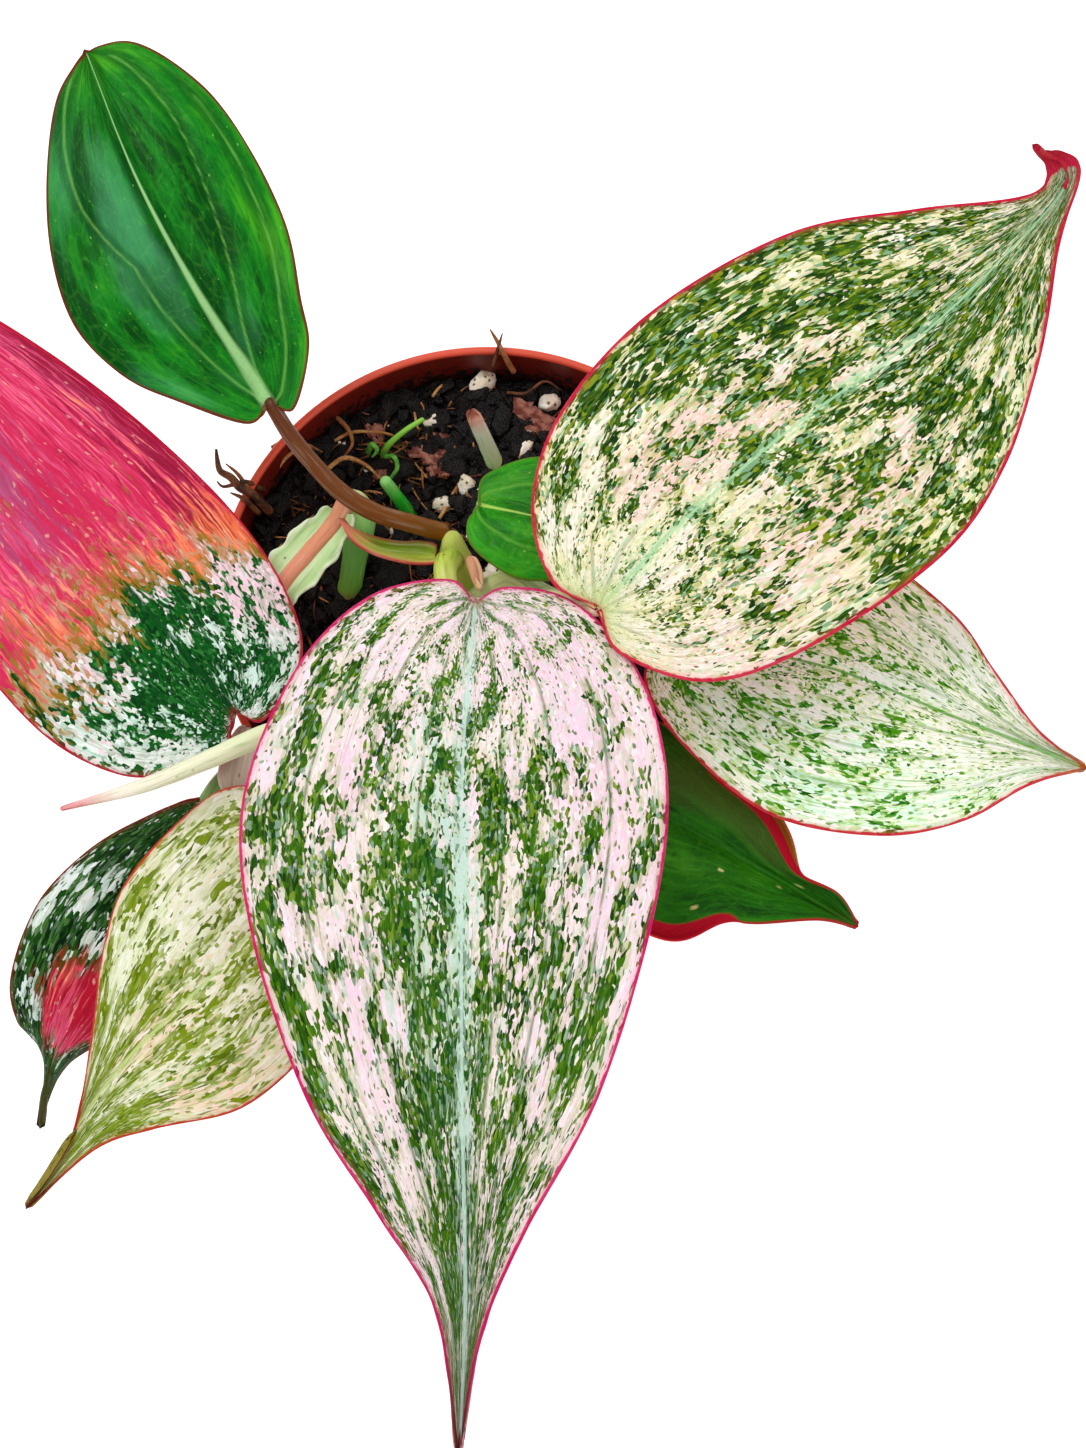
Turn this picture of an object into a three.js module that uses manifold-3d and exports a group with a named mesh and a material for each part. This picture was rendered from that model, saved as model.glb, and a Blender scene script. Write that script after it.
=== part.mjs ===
// A potted philodendron with large heart-shaped, variegated leaves, in millimetres, +Z up.
// The origin is the centre of the pot's underside. -Y is the front, where the longest leaf hangs.
import * as THREE from "three";
import { mergeVertices } from "three/addons/utils/BufferGeometryUtils.js";
import Module from "manifold-3d";

// The pot
const POT_HEIGHT = 78;
const RIM_RADIUS = 45;
const LIP_WIDTH = 1.3;
const WALL = 1.3;
const BAND_HEIGHT = 10;
const BASE_RADIUS = 31;
const FLOOR = 2.6;
const FOOT_RECESS = 1.2;
const BOSS_RADIUS = 10;
const DRAIN_RADIUS = 2.6;
const DRAIN_RING = 18.5;
const DRAIN_COUNT = 6;
const POT_SEGMENTS = 40;

// The soil
const SOIL_TOP = 70.5;
const SOIL_RISE = 2.2;
const SOIL_RINGS = 7;
const HEAVE = 0.55;
const ROUGH_HEAVE = 0.33;
const CRUMBS = 36;
const CRUMB_REACH = 38.5;
const CRUMB_CLEAR = 5;
const GRAIN_UNEVEN = 0.16;
const CHIP_TAPER = 0.75;
const CHIP_SHOWS = 0.35;
const GOLDEN_TURN = Math.PI * (3 - Math.sqrt(5));

// Fits between pieces
const GAP = 0.35;

// The leaves
const BLADE = 0.7;
const LEAF_ROWS = 16;
const LEAF_COLUMNS = [0.34, 0.7, 1];
const WIDE_COLUMNS = [0.24, 0.5, 0.76, 1];
const MIDRIB_PACE = 1.6;
const RIPPLE_START = 1.3;
const TUBE_SIDES = 8;

// The wings of a petiole
const WING_STEPS = 8;
const WING_LIFT = 0.8;
const WING_WAVE = 0.35;
const WING_THICK = 0.9;

const wasm = await Module();
wasm.setup();

// A closed geometry as a solid that can be joined and cut.
function solid(geometry) {
  const bare = geometry.index ? geometry.toNonIndexed() : geometry.clone();
  for (const name of Object.keys(bare.attributes)) {
    if (name !== "position") bare.deleteAttribute(name);
  }
  const merged = mergeVertices(bare, 1e-4);
  return new wasm.Manifold(
    new wasm.Mesh({
      numProp: 3,
      vertProperties: new Float32Array(merged.attributes.position.array),
      triVerts: new Uint32Array(merged.index.array),
    }),
  );
}

function geometryOf(shape) {
  const mesh = shape.getMesh();
  const geometry = new THREE.BufferGeometry();
  geometry.setAttribute("position", new THREE.BufferAttribute(mesh.vertProperties, 3));
  geometry.setIndex(new THREE.BufferAttribute(mesh.triVerts, 1));
  return geometry;
}

function join(shapes) {
  return shapes.reduce((whole, next) => whole.add(next));
}

// Repeatable pseudo-random numbers from 0 to 1.
function dice(seed) {
  let state = seed >>> 0;
  return () => {
    state = (Math.imul(state, 1664525) + 1013904223) >>> 0;
    return state / 4294967296;
  };
}

// The point at share x of the way along a smooth curve through evenly paced points.
function along(points, x) {
  const last = points.length - 1;
  const place = Math.min(Math.max(x, 0), 1) * last;
  const i = Math.min(Math.floor(place), last - 1);
  const f = place - i;
  const p1 = points[i];
  const p2 = points[i + 1];
  const p0 = i > 0 ? points[i - 1] : p1.map((a, k) => 2 * a - p2[k]);
  const p3 = i + 2 <= last ? points[i + 2] : p2.map((a, k) => 2 * a - p1[k]);
  return p1.map((a, k) => {
    const slope1 = (p2[k] - p0[k]) / 2;
    const slope2 = (p3[k] - a) / 2;
    const rest = 3 * (p2[k] - a) - 2 * slope1 - slope2;
    return a + f * (slope1 + f * (rest + f * (2 * (a - p2[k]) + slope1 + slope2)));
  });
}

function middle(ring) {
  return ring.reduce((sum, p) => sum.add(p), new THREE.Vector3()).divideScalar(ring.length);
}

function indexed(points, faces) {
  const geometry = new THREE.BufferGeometry();
  geometry.setAttribute(
    "position",
    new THREE.Float32BufferAttribute(
      points.flatMap((p) => [p.x, p.y, p.z]),
      3,
    ),
  );
  geometry.setIndex(faces);
  return geometry;
}

// A closed solid from rings of points, each ring with as many points, capped by its two ends.
function skin(rings) {
  const sides = rings[0].length;
  const points = rings.flat();
  const first = points.length;
  points.push(middle(rings[0]), middle(rings.at(-1)));
  const faces = [];
  for (let r = 0; r + 1 < rings.length; r++) {
    for (let i = 0; i < sides; i++) {
      const a = r * sides + i;
      const b = r * sides + ((i + 1) % sides);
      faces.push(a, b, b + sides, a, b + sides, a + sides);
    }
  }
  const end = (rings.length - 1) * sides;
  for (let i = 0; i < sides; i++) {
    const j = (i + 1) % sides;
    faces.push(first, j, i, first + 1, end + i, end + j);
  }
  return solid(indexed(points, faces));
}

function smooth(path) {
  return new THREE.CatmullRomCurve3(path.map((p) => new THREE.Vector3(...p)));
}

// A round stalk along a smooth curve. Radii are spread evenly from its foot to its top. grow makes it
// thicker, and longer at both ends.
function stalk(path, radii, grow = 0) {
  const curve = smooth(path);
  const steps = 3 * (path.length - 1);
  const frames = curve.computeFrenetFrames(steps, false);
  const rings = [];
  for (let r = 0; r <= steps; r++) {
    const centre = curve.getPointAt(r / steps);
    if (r === 0) centre.addScaledVector(frames.tangents[r], -grow);
    if (r === steps) centre.addScaledVector(frames.tangents[r], grow);
    const radius = along(radii.map((x) => [x]), r / steps)[0] + grow;
    rings.push(
      Array.from({ length: TUBE_SIDES }, (_, i) => {
        const turn = (2 * Math.PI * i) / TUBE_SIDES;
        return centre
          .clone()
          .addScaledVector(frames.normals[r], radius * Math.cos(turn))
          .addScaledVector(frames.binormals[r], radius * Math.sin(turn));
      }),
    );
  }
  return skin(rings);
}

// A leaf blade's upper surface. share runs from the junction with the petiole (0) to the tip (1) along
// every vein, and side from the right margin (-1) over the midrib (0) to the left margin (1), as seen
// when looking from the junction to the tip.
function bladePoint(leaf, share, side) {
  const reach = Math.abs(side);
  const [rimU, rimV] = along(side < 0 ? leaf.right : leaf.left, share);
  const [midU, midV, midZ] = along(leaf.midrib, share ** MIDRIB_PACE);
  const rib = side < 0 ? -1 : 1;
  const out = Math.hypot(rimU - midU, rimV * rib - midV);
  const across = (out * reach) / leaf.halfWidth;
  let u = midU + (rimU - midU) * reach;
  let v = midV + (rimV * rib - midV) * reach;
  let z = midZ + leaf.fold * across * leaf.halfWidth - leaf.arch * across ** 2;
  z += leaf.tilt * across * rib;
  z += leaf.ripple * across ** 2 * Math.sin(2 * Math.PI * leaf.waves * share + rib * RIPPLE_START);
  for (const roll of leaf.rolls ?? []) {
    if (roll.side !== rib || reach <= roll.from) continue;
    const done = THREE.MathUtils.clamp((share - roll.start) / (roll.end - roll.start), 0, 1);
    const window = Math.sin(Math.PI * done);
    const strip = ((reach - roll.from) / (1 - roll.from)) * roll.width * window;
    const turn = strip / roll.radius;
    const outward = new THREE.Vector2(rimU - midU, rimV * rib - midV).normalize();
    const flat = out * (reach - roll.from);
    const kept = flat * (1 - window) + roll.radius * Math.sin(turn) * window;
    u += outward.x * (kept - flat);
    v += outward.y * (kept - flat);
    z += roll.radius * (1 - Math.cos(turn)) * window;
  }
  const heading = THREE.MathUtils.degToRad(leaf.heading);
  return new THREE.Vector3(
    leaf.base[0] + u * Math.cos(heading) - v * Math.sin(heading),
    leaf.base[1] + u * Math.sin(heading) + v * Math.cos(heading),
    z,
  );
}

// The blade as a closed thin solid, split into triangles alike on both faces.
function blade(leaf) {
  const columns = leaf.columns ?? LEAF_COLUMNS;
  const sides = [...columns.map((c) => -c).reverse(), 0, ...columns];
  const wide = sides.length;
  const rows = leaf.rows ?? LEAF_ROWS;
  const grid = [bladePoint(leaf, 0, 0)];
  for (let r = 1; r < rows; r++) {
    for (const side of sides) grid.push(bladePoint(leaf, r / rows, side));
  }
  grid.push(bladePoint(leaf, 1, 0));
  const tip = grid.length - 1;
  const at = (r, c) => 1 + (r - 1) * wide + c;
  const faces = [];
  for (let c = 0; c + 1 < wide; c++) {
    faces.push([0, at(1, c), at(1, c + 1)]);
    for (let r = 1; r + 1 < rows; r++) {
      const [a, b, d, e] = [at(r, c), at(r, c + 1), at(r + 1, c + 1), at(r + 1, c)];
      if (2 * c + 1 < wide - 1) faces.push([a, e, d], [a, d, b]);
      else faces.push([a, e, b], [b, e, d]);
    }
    faces.push([at(rows - 1, c), tip, at(rows - 1, c + 1)]);
  }
  const normals = grid.map(() => new THREE.Vector3());
  for (const [a, b, c] of faces) {
    const normal = new THREE.Vector3()
      .subVectors(grid[b], grid[a])
      .cross(new THREE.Vector3().subVectors(grid[c], grid[a]));
    for (const i of [a, b, c]) normals[i].add(normal);
  }
  const up = normals[at(2, columns.length)].z > 0 ? 1 : -1;
  const under = grid.map((p, i) => p.clone().addScaledVector(normals[i].normalize(), -up * BLADE));
  const shift = grid.length;
  const all = [];
  for (const [a, b, c] of faces) {
    if (up > 0) all.push(a, b, c, shift + a, shift + c, shift + b);
    else all.push(a, c, b, shift + a, shift + b, shift + c);
  }
  const rim = [0];
  for (let r = 1; r < rows; r++) rim.push(at(r, 0));
  rim.push(tip);
  for (let r = rows - 1; r > 0; r--) rim.push(at(r, wide - 1));
  rim.forEach((a, i) => {
    const b = rim[(i + 1) % rim.length];
    if (up > 0) all.push(b, a, shift + a, b, shift + a, shift + b);
    else all.push(a, b, shift + b, a, shift + b, shift + a);
  });
  return solid(indexed([...grid, ...under], all));
}

// The leaves. base is the junction with the petiole, in plan. The midrib is [along, left, height] and the
// margins are [along, out from the chord], all from the junction to the tip. fold lifts the halves per
// millimetre from the midrib, arch is how far the margins droop, and tilt lifts the left half.
const leaves = {
  leaf_green_oval: {
    colour: 0x2c7a34,
    base: [-34, 25.5],
    heading: 117.8,
    halfWidth: 20,
    midrib: [[0, 0, 104], [21, 2, 108], [42, 2.2, 111], [64, 0, 112]],
    left: [[0, 0], [-1.5, 4.5], [7.5, 13], [15, 18.5], [25, 21.5], [36, 20], [47, 15.5], [58.5, 8], [64, 0]],
    right: [[0, 0], [-3, 3], [4.5, 9.5], [12, 12], [24, 15.5], [38, 16], [50, 14], [61, 8], [64, 0]],
    fold: 0.1,
    arch: 3.5,
    tilt: -1.5,
    ripple: 0.5,
    waves: 2,
    petiole: [
      [-8, 9.6, 87.4],
      [-12.3, 9.8, 91],
      [-17.9, 10.6, 94.5],
      [-22.7, 12.8, 97.5],
      [-30.2, 20.2, 102],
      [-34.2, 26.4, 103.8],
    ],
    thick: [1.5, 1.5, 1.4, 1.2],
  },
  leaf_pink_left: {
    colour: 0xe2557f,
    base: [-39.7, -21.3],
    heading: 132.4,
    halfWidth: 23,
    midrib: [[0, 0, 90.3], [26, -0.5, 95], [52, 0, 99.5], [78, -0.5, 101], [103, 0, 98]],
    left: [[0, 0], [-4, 5.5], [-2, 11.5], [5, 20], [19, 25], [40, 24], [62, 18], [84, 8], [103, 0]],
    right: [
      [0, 0], [-4.5, 2.5], [-1.5, 13], [7.5, 18.5], [22.5, 21], [43, 19.5], [65.5, 15], [86.5, 8],
      [103, 0],
    ],
    fold: 0.12,
    arch: 5.5,
    tilt: -1.5,
    ripple: 0.7,
    waves: 2,
    columns: WIDE_COLUMNS,
    petiole: [
      [-22.6, 17, 83.6],
      [-24.6, 11.4, 86],
      [-28.4, 6.1, 87.3],
      [-33.1, -0.4, 88],
      [-37.7, -10.7, 88.5],
      [-39.9, -20.4, 89.8],
    ],
    thick: [1.5, 1.5, 1.4, 1.2],
    wings: { start: 0.1, end: 0.6, reach: 3.4 },
  },
  leaf_half_red: {
    colour: 0x2d4a38,
    base: [-44.8, -34.4],
    heading: -121,
    halfWidth: 16,
    midrib: [[0, 0, 84.3], [19, -1.2, 81], [38, -2, 72], [50, -1.6, 63], [58, 0, 53]],
    left: [[0, 0], [-1.5, 4], [3, 9.5], [12, 14], [24, 15], [34, 11], [41.5, 3.5], [48.5, -0.4], [58, 0]],
    right: [[0, 0], [1.5, 2.5], [6.5, 6.5], [15.5, 12], [27, 15.5], [39, 14], [45, 10], [47, 5], [58, 0]],
    fold: 0.08,
    arch: 3,
    tilt: 0,
    ripple: 0.5,
    waves: 2,
    petiole: [
      [-6.4, -6.7, 76],
      [-21.9, -18.5, 82],
      [-35.8, -25.8, 83.4],
      [-42, -30.4, 83.6],
      [-45.2, -35, 83.9],
    ],
    thick: [1.5, 1.4, 1.3, 1.1],
  },
  leaf_cream_left: {
    colour: 0xc9cf9a,
    base: [-24.3, -42.4],
    heading: -132.4,
    halfWidth: 20,
    midrib: [[0, 0, 92], [25, 1, 90.5], [50, -1.2, 81], [75, 0, 62]],
    left: [[0, 0], [-3, 6], [1, 13.5], [10, 18.5], [24, 20], [39, 18], [51, 9.5], [60, 3.6], [75, 0]],
    right: [[0, 0], [-3, 6], [0.5, 13.5], [7, 19.5], [24, 20], [35.5, 15.5], [47.5, 7.5], [60.5, 1], [75, 0]],
    fold: 0.1,
    arch: 4,
    tilt: 0,
    ripple: 0.6,
    waves: 2.5,
    petiole: [
      [-4.8, -10.6, 76],
      [-13.6, -25, 85.5],
      [-24.6, -43, 91.5],
    ],
    thick: [1.6, 1.5, 1.2],
  },
  leaf_front: {
    colour: 0xe3cbd8,
    base: [-1.1, -7.9],
    heading: -91.4,
    halfWidth: 33,
    midrib: [[0, 0, 108], [26, -1, 112], [52, -0.5, 109.5], [78, 0.2, 101], [104, 1, 87], [128.5, 0.3, 66]],
    left: [
      [0, 0], [-2, 5], [0.5, 15.5], [12, 25.5], [29, 30], [49, 28], [75, 20.5], [95, 10], [109, 4],
      [128.5, 0],
    ],
    right: [
      [0, 0], [-3, 4.5], [0.5, 16.5], [12, 27], [32, 34], [52.5, 32], [76.5, 23], [93, 12],
      [107, 3.4], [128.5, 0],
    ],
    fold: 0.1,
    arch: 6,
    tilt: 0,
    ripple: 0.8,
    waves: 3,
    rows: 18,
    columns: WIDE_COLUMNS,
    petiole: [
      [-5, 4.2, 86.5],
      [-5.8, 3.6, 91],
      [-6.2, 0.5, 96],
      [-5.2, -5.2, 102],
      [-1.6, -8.7, 107.2],
    ],
    thick: [2, 1.9, 1.7, 1.4],
  },
  leaf_upper_right: {
    colour: 0x8a9a52,
    base: [17.7, -10.1],
    heading: 42,
    halfWidth: 29,
    midrib: [
      [0, 0, 111],
      [21, 1, 115],
      [42, 0, 118],
      [63, -2.6, 120],
      [84, -2, 122],
      [97, 0, 123.5],
      [95.5, 6.2, 127.5],
    ],
    left: [
      [0, 0], [-2.5, 8], [3.5, 19], [16.5, 26.5], [38, 29], [61, 24], [77, 13], [90, 3], [95, 2.5],
      [95, 6.6],
    ],
    right: [
      [0, 0], [-2.5, 7.5], [4, 19.5], [18.5, 26], [43, 29.5], [59.5, 26], [75.5, 17], [89, 6.6],
      [100, -0.5], [95, -6.6],
    ],
    fold: 0.1,
    arch: 4.5,
    tilt: 0,
    ripple: 0.8,
    waves: 3,
    rows: 18,
    columns: WIDE_COLUMNS,
    petiole: [
      [-3.4, -1, 81.5],
      [-1, -0.6, 85],
      [1.8, 0.2, 89],
      [4.8, 0.3, 92.2],
      [9.2, -3.4, 96],
      [12.6, -6.4, 101.4],
      [18.2, -9.9, 110.6],
    ],
    thick: [1.8, 1.7, 1.6, 1.3],
  },
  leaf_mint_right: {
    colour: 0xc4d8b4,
    base: [34.3, -10],
    heading: -17.3,
    halfWidth: 22,
    midrib: [[0, 0, 93], [22, 1, 95], [43, 0, 92], [65, 0, 85]],
    left: [[0, 0], [-4, 6], [-1, 14], [8, 20], [21, 22], [37, 16], [46, 9], [55.5, 2.5], [65, 0]],
    right: [
      [0, 0], [-6.5, 5.5], [-5, 11.5], [4.5, 18.5], [19.5, 24], [36, 22], [48, 15.5], [56.5, 6.5],
      [65, 0],
    ],
    fold: 0.1,
    arch: 4,
    tilt: 0,
    ripple: 0.6,
    waves: 2.5,
    petiole: [
      [-1.6, -6.5, 79.5],
      [12, -8.4, 86],
      [24.8, -9.7, 90.5],
      [34.8, -10.2, 92.6],
    ],
    thick: [1.6, 1.5, 1.2],
  },
  leaf_green_right: {
    colour: 0x1f5a2a,
    base: [12.8, -30.3],
    heading: -24.9,
    halfWidth: 18,
    midrib: [[0, 0, 84], [18, 0.5, 84.5], [36, 0, 80], [53, 0, 70]],
    left: [[0, 0], [-3, 5], [0, 11], [8, 14.5], [19, 12], [32, 8.5], [40.5, 2], [48, 2.2], [53, 0]],
    right: [[0, 0], [-3, 5], [0, 12], [9.5, 16.5], [25.5, 17.5], [33, 11], [38.5, 8], [47, 2.6], [53, 0]],
    fold: 0.08,
    arch: 2.5,
    tilt: 0,
    ripple: 0.4,
    waves: 2,
    columns: [0.3, 0.6, 0.86, 0.9, 0.95, 1],
    rolls: [
      { side: 1, from: 0.84, start: 0.42, end: 0.82, radius: 1.7, width: 4.4 },
      { side: -1, from: 0.86, start: 0.2, end: 0.72, radius: 1.8, width: 5 },
    ],
    petiole: [
      [-1.6, -12.2, 76],
      [4.8, -19.6, 80],
      [13.2, -30.6, 83.7],
    ],
    thick: [1.5, 1.4, 1.1],
  },
  leaf_small_round: {
    colour: 0x3aa83c,
    base: [-0.7, 10.1],
    heading: -16.6,
    halfWidth: 10,
    midrib: [[0, 0, 100], [8, 0, 102], [16, 0, 102], [23.3, 0, 100]],
    left: [
      [0, 0], [-1, 3.4], [0.5, 5.8], [4.4, 8.8], [8.8, 10.2], [13.6, 9.7], [18, 6.8], [21.4, 3.4],
      [23.3, 0],
    ],
    right: [
      [0, 0], [-1, 3.4], [0.5, 6.8], [4.9, 9.2], [9.7, 10.2], [14.6, 9.2], [19, 7.3], [21.8, 3],
      [23.3, 0],
    ],
    fold: 0.12,
    arch: 1.8,
    tilt: 0,
    ripple: 0.2,
    waves: 2,
    rows: 12,
    columns: [0.35, 0.7, 1],
    petiole: [
      [2.4, 17.6, 66],
      [1.4, 15.2, 82],
      [-0.6, 10.3, 99.4],
    ],
    thick: [1.1, 1, 0.8],
  },
};

// Stems that stand in the soil, and the rolled new leaf, each by its centreline and radii from foot to top.
const stems = {
  stem_main: {
    colour: 0x9aa84a,
    path: [
      [-2.5, -12.4, 58],
      [-3.2, -8.8, 69],
      [-4.1, -1, 77],
      [-5, 5, 83],
      [-5.5, 9, 88.6],
    ],
    thick: [4.6, 4.4, 4.1, 3.7, 3.2, 1.3],
  },
  stem_left: {
    colour: 0x6fae5a,
    path: [
      [-24.2, 1, 58],
      [-23.5, 2.4, 70],
      [-22.1, 7.4, 76.5],
      [-21.3, 13, 80.5],
      [-22, 17.6, 83],
    ],
    thick: [2.4, 2.3, 2.2, 2.2, 2.7],
  },
  stem_cut: {
    colour: 0xb9cf9a,
    path: [
      [2.8, 24.4, 58],
      [1.7, 25.3, 70],
      [-0.4, 28.2, 78],
      [-2.3, 30.7, 84],
    ],
    thick: [1.6, 1.5, 1.4, 1.2],
  },
  stalk_green: {
    colour: 0x34b04a,
    path: [
      [-10.8, 16.2, 60],
      [-12.9, 17.2, 71],
      [-15.2, 18.6, 78],
      [-17.1, 20.3, 82],
    ],
    thick: [1.1, 1.1, 1.1, 1],
  },
  sprout_thin: {
    colour: 0x8fd04a,
    path: [
      [-18.4, 27.8, 66],
      [-16.8, 28.3, 75],
      [-13.8, 30.3, 77],
      [-10.7, 32.6, 76.4],
    ],
    thick: [0.7, 0.6, 0.5, 0.4],
  },
  leaf_new_rolled: {
    colour: 0xdbe8b0,
    path: [
      [-6.4, -4.6, 82],
      [-13.4, -15.3, 90.5],
      [-24.1, -22.4, 95.5],
      [-34.1, -26.6, 97],
      [-51.9, -34.1, 96],
      [-66.1, -37.8, 94],
    ],
    thick: [1.3, 1.7, 2, 1.9, 1.4, 0.45],
  },
};

// Sheath leaves: blades with no petiole, bowed across like a trough.
const sheaths = {
  cataphyll_boat: {
    colour: 0xc98a52,
    base: [-8.2, 5.5],
    heading: 161,
    halfWidth: 3,
    midrib: [[0, 0, 87.2], [5, 0.9, 86.4], [10, 1.5, 86.8], [16.2, 0, 90.4]],
    left: [[0, 0], [-0.3, 1.4], [4, 2.7], [9, 3.1], [13.5, 2.2], [16.2, 0]],
    right: [[0, 0], [0.4, 1.4], [2.8, 1.4], [6.6, 0.2], [12, -0.4], [16.2, 0]],
    fold: 0.5,
    arch: 0,
    tilt: 0,
    ripple: 0,
    waves: 1,
    rows: 8,
    columns: [0.5, 1],
  },
  sheath_pink: {
    colour: 0xd9a08c,
    base: [-2.6, 5],
    heading: -76,
    halfWidth: 2,
    midrib: [[0, 0, 88.8], [3.5, 0, 91.4], [7.5, 0.2, 94.6]],
    left: [[0, 0], [0.8, 0.9], [3.4, 1.3], [6, 0.9], [7.5, 0]],
    right: [[0, 0], [0.8, 0.7], [3.4, 0.8], [6, 0.6], [7.5, 0]],
    fold: 0.2,
    arch: 0,
    tilt: 0,
    ripple: 0,
    waves: 1,
    rows: 6,
    columns: [0.5, 1],
  },
  sheath_papery: {
    colour: 0xb4a090,
    base: [-38.2, -23],
    heading: -103,
    halfWidth: 3.4,
    midrib: [[0, 0, 87.2], [4, 0, 87.4], [8, 0, 86.8], [12.4, 0.2, 85.4]],
    left: [[0, 0], [0.4, 1.4], [4, 2.8], [9, 3], [12.4, 0.2]],
    right: [[0, 0], [0.4, 1.2], [4, 2.4], [9, 2.4], [12.4, -0.2]],
    fold: 0,
    arch: 0.8,
    tilt: 0,
    ripple: 0.2,
    waves: 2,
    rows: 7,
    columns: [0.5, 1],
  },
};

// How much the pot's inner wall leans out for each millimetre of height.
function innerSlope() {
  return (RIM_RADIUS - LIP_WIDTH - BASE_RADIUS + WALL) / (POT_HEIGHT - FLOOR);
}

function potProfile() {
  const inner = (z) => BASE_RADIUS - WALL + (z - FLOOR) * innerSlope();
  const band = POT_HEIGHT - BAND_HEIGHT;
  return [
    [0, 0],
    [BOSS_RADIUS, 0],
    [BOSS_RADIUS + 1, FOOT_RECESS],
    [BASE_RADIUS - 6, FOOT_RECESS],
    [BASE_RADIUS - 5, 0],
    [BASE_RADIUS - 0.6, 0],
    [inner(FLOOR) + WALL, 1],
    [inner(band) + WALL, band],
    [RIM_RADIUS - 0.9, band],
    [RIM_RADIUS, POT_HEIGHT - 0.8],
    [RIM_RADIUS - 0.3, POT_HEIGHT],
    [RIM_RADIUS - LIP_WIDTH, POT_HEIGHT],
    [inner(FLOOR), FLOOR],
    [0, FLOOR],
  ];
}

function pot() {
  const profile = potProfile().map(([r, z]) => new THREE.Vector2(r, z));
  const lathe = new THREE.LatheGeometry(profile, POT_SEGMENTS).rotateX(Math.PI / 2);
  const drains = Array.from({ length: DRAIN_COUNT }, (_, i) => {
    const turn = (2 * Math.PI * (i + 0.5)) / DRAIN_COUNT;
    const drain = new THREE.CylinderGeometry(DRAIN_RADIUS, DRAIN_RADIUS, 3 * FLOOR, 10).rotateX(Math.PI / 2);
    return solid(drain.translate(DRAIN_RING * Math.cos(turn), DRAIN_RING * Math.sin(turn), FLOOR));
  });
  return solid(lathe).subtract(join(drains));
}

// The soil fills the pot to just under its rim. Its surface heaves a little everywhere.
function soilHeight(x, y) {
  const share = Math.hypot(x, y) / RIM_RADIUS;
  const heave = HEAVE * Math.sin(x * 0.31 + 1.2) * Math.cos(y * 0.37 - 0.4);
  return SOIL_TOP + SOIL_RISE * (1 - share ** 2) + heave + ROUGH_HEAVE * Math.sin(x * 0.83 - y * 0.71);
}

function soilBody() {
  const inner = (z) => BASE_RADIUS - WALL + (z - FLOOR) * innerSlope() - GAP;
  const ring = (radius, height) =>
    Array.from({ length: POT_SEGMENTS }, (_, i) => {
      const turn = (2 * Math.PI * i) / POT_SEGMENTS;
      const x = radius * Math.cos(turn);
      const y = radius * Math.sin(turn);
      return new THREE.Vector3(x, y, height ?? soilHeight(x, y));
    });
  const bottom = FLOOR + GAP;
  const wide = inner(SOIL_TOP - 1);
  const rings = [ring(inner(bottom), bottom)];
  for (let r = SOIL_RINGS; r > 0; r--) rings.push(ring((wide * r) / SOIL_RINGS));
  return skin(rings);
}

// An angular grain, stretched and turned, half under the surface.
function grain(shape, x, y, size, roll) {
  const corner = shape.attributes.position;
  const uneven = (a, b, c) => 1 + GRAIN_UNEVEN * Math.sin(7 * a + 3 * b + 5 * c + roll);
  for (let i = 0; i < corner.count; i++) {
    const point = new THREE.Vector3().fromBufferAttribute(corner, i);
    point.multiplyScalar(uneven(point.x, point.y, point.z));
    corner.setXYZ(i, point.x * size[0], point.y * size[1], point.z * size[2]);
  }
  shape.rotateX(0.3 * Math.sin(roll)).rotateZ(roll);
  return solid(shape.translate(x, y, soilHeight(x, y)));
}

// Flat bark chips, thicker in the middle, lying at a slant.
function chip(x, y, size, turn, slant) {
  const shape = new THREE.CylinderGeometry(CHIP_TAPER, 1, 1, 5).rotateX(Math.PI / 2);
  shape.scale(size[0], size[1], size[2]).rotateY(slant).rotateZ(turn);
  return solid(shape.translate(x, y, soilHeight(x, y) + size[2] * CHIP_SHOWS));
}

// Pale perlite grains: [x, y, half length, half width, half height, turn].
const perlite = [
  [-1.3, 40.1, 3, 1.9, 1.9, 0.2],
  [-7.7, 18.8, 1.7, 1.5, 1.5, 1.1],
  [-3.7, 22.2, 1.5, 1.8, 1.4, 2.2],
  [6.3, 29.2, 2.5, 1.5, 1.3, 5.9],
  [10.4, 37.3, 1.8, 1.5, 1.4, 3],
  [-9.2, 33.9, 1.4, 1.7, 1.3, 0.6],
  [-17.9, 8.2, 1.2, 1, 1, 4],
  [-15.2, 13.9, 1.8, 0.9, 0.9, 0.1],
  [1.4, 6.4, 1.8, 2.2, 1.3, 2.6],
  [5.6, 20.4, 0.9, 0.8, 0.8, 1],
];

// Bark chips: [x, y, half length, half width, thickness, turn, slant].
const bark = [
  [-9.6, 28.4, 3.4, 2.6, 2.2, 0.9, 0.5],
  [8.2, 33.4, 4.2, 2.4, 2, 2.5, -0.3],
  [-8.4, 25, 1.8, 1.6, 1.4, 2, 0.2],
  [-17.4, 25, 1.8, 1.4, 1.2, 0.4, 0.3],
  [-19, 31.2, 2.2, 1.2, 1.1, 1.9, -0.4],
];

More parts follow.
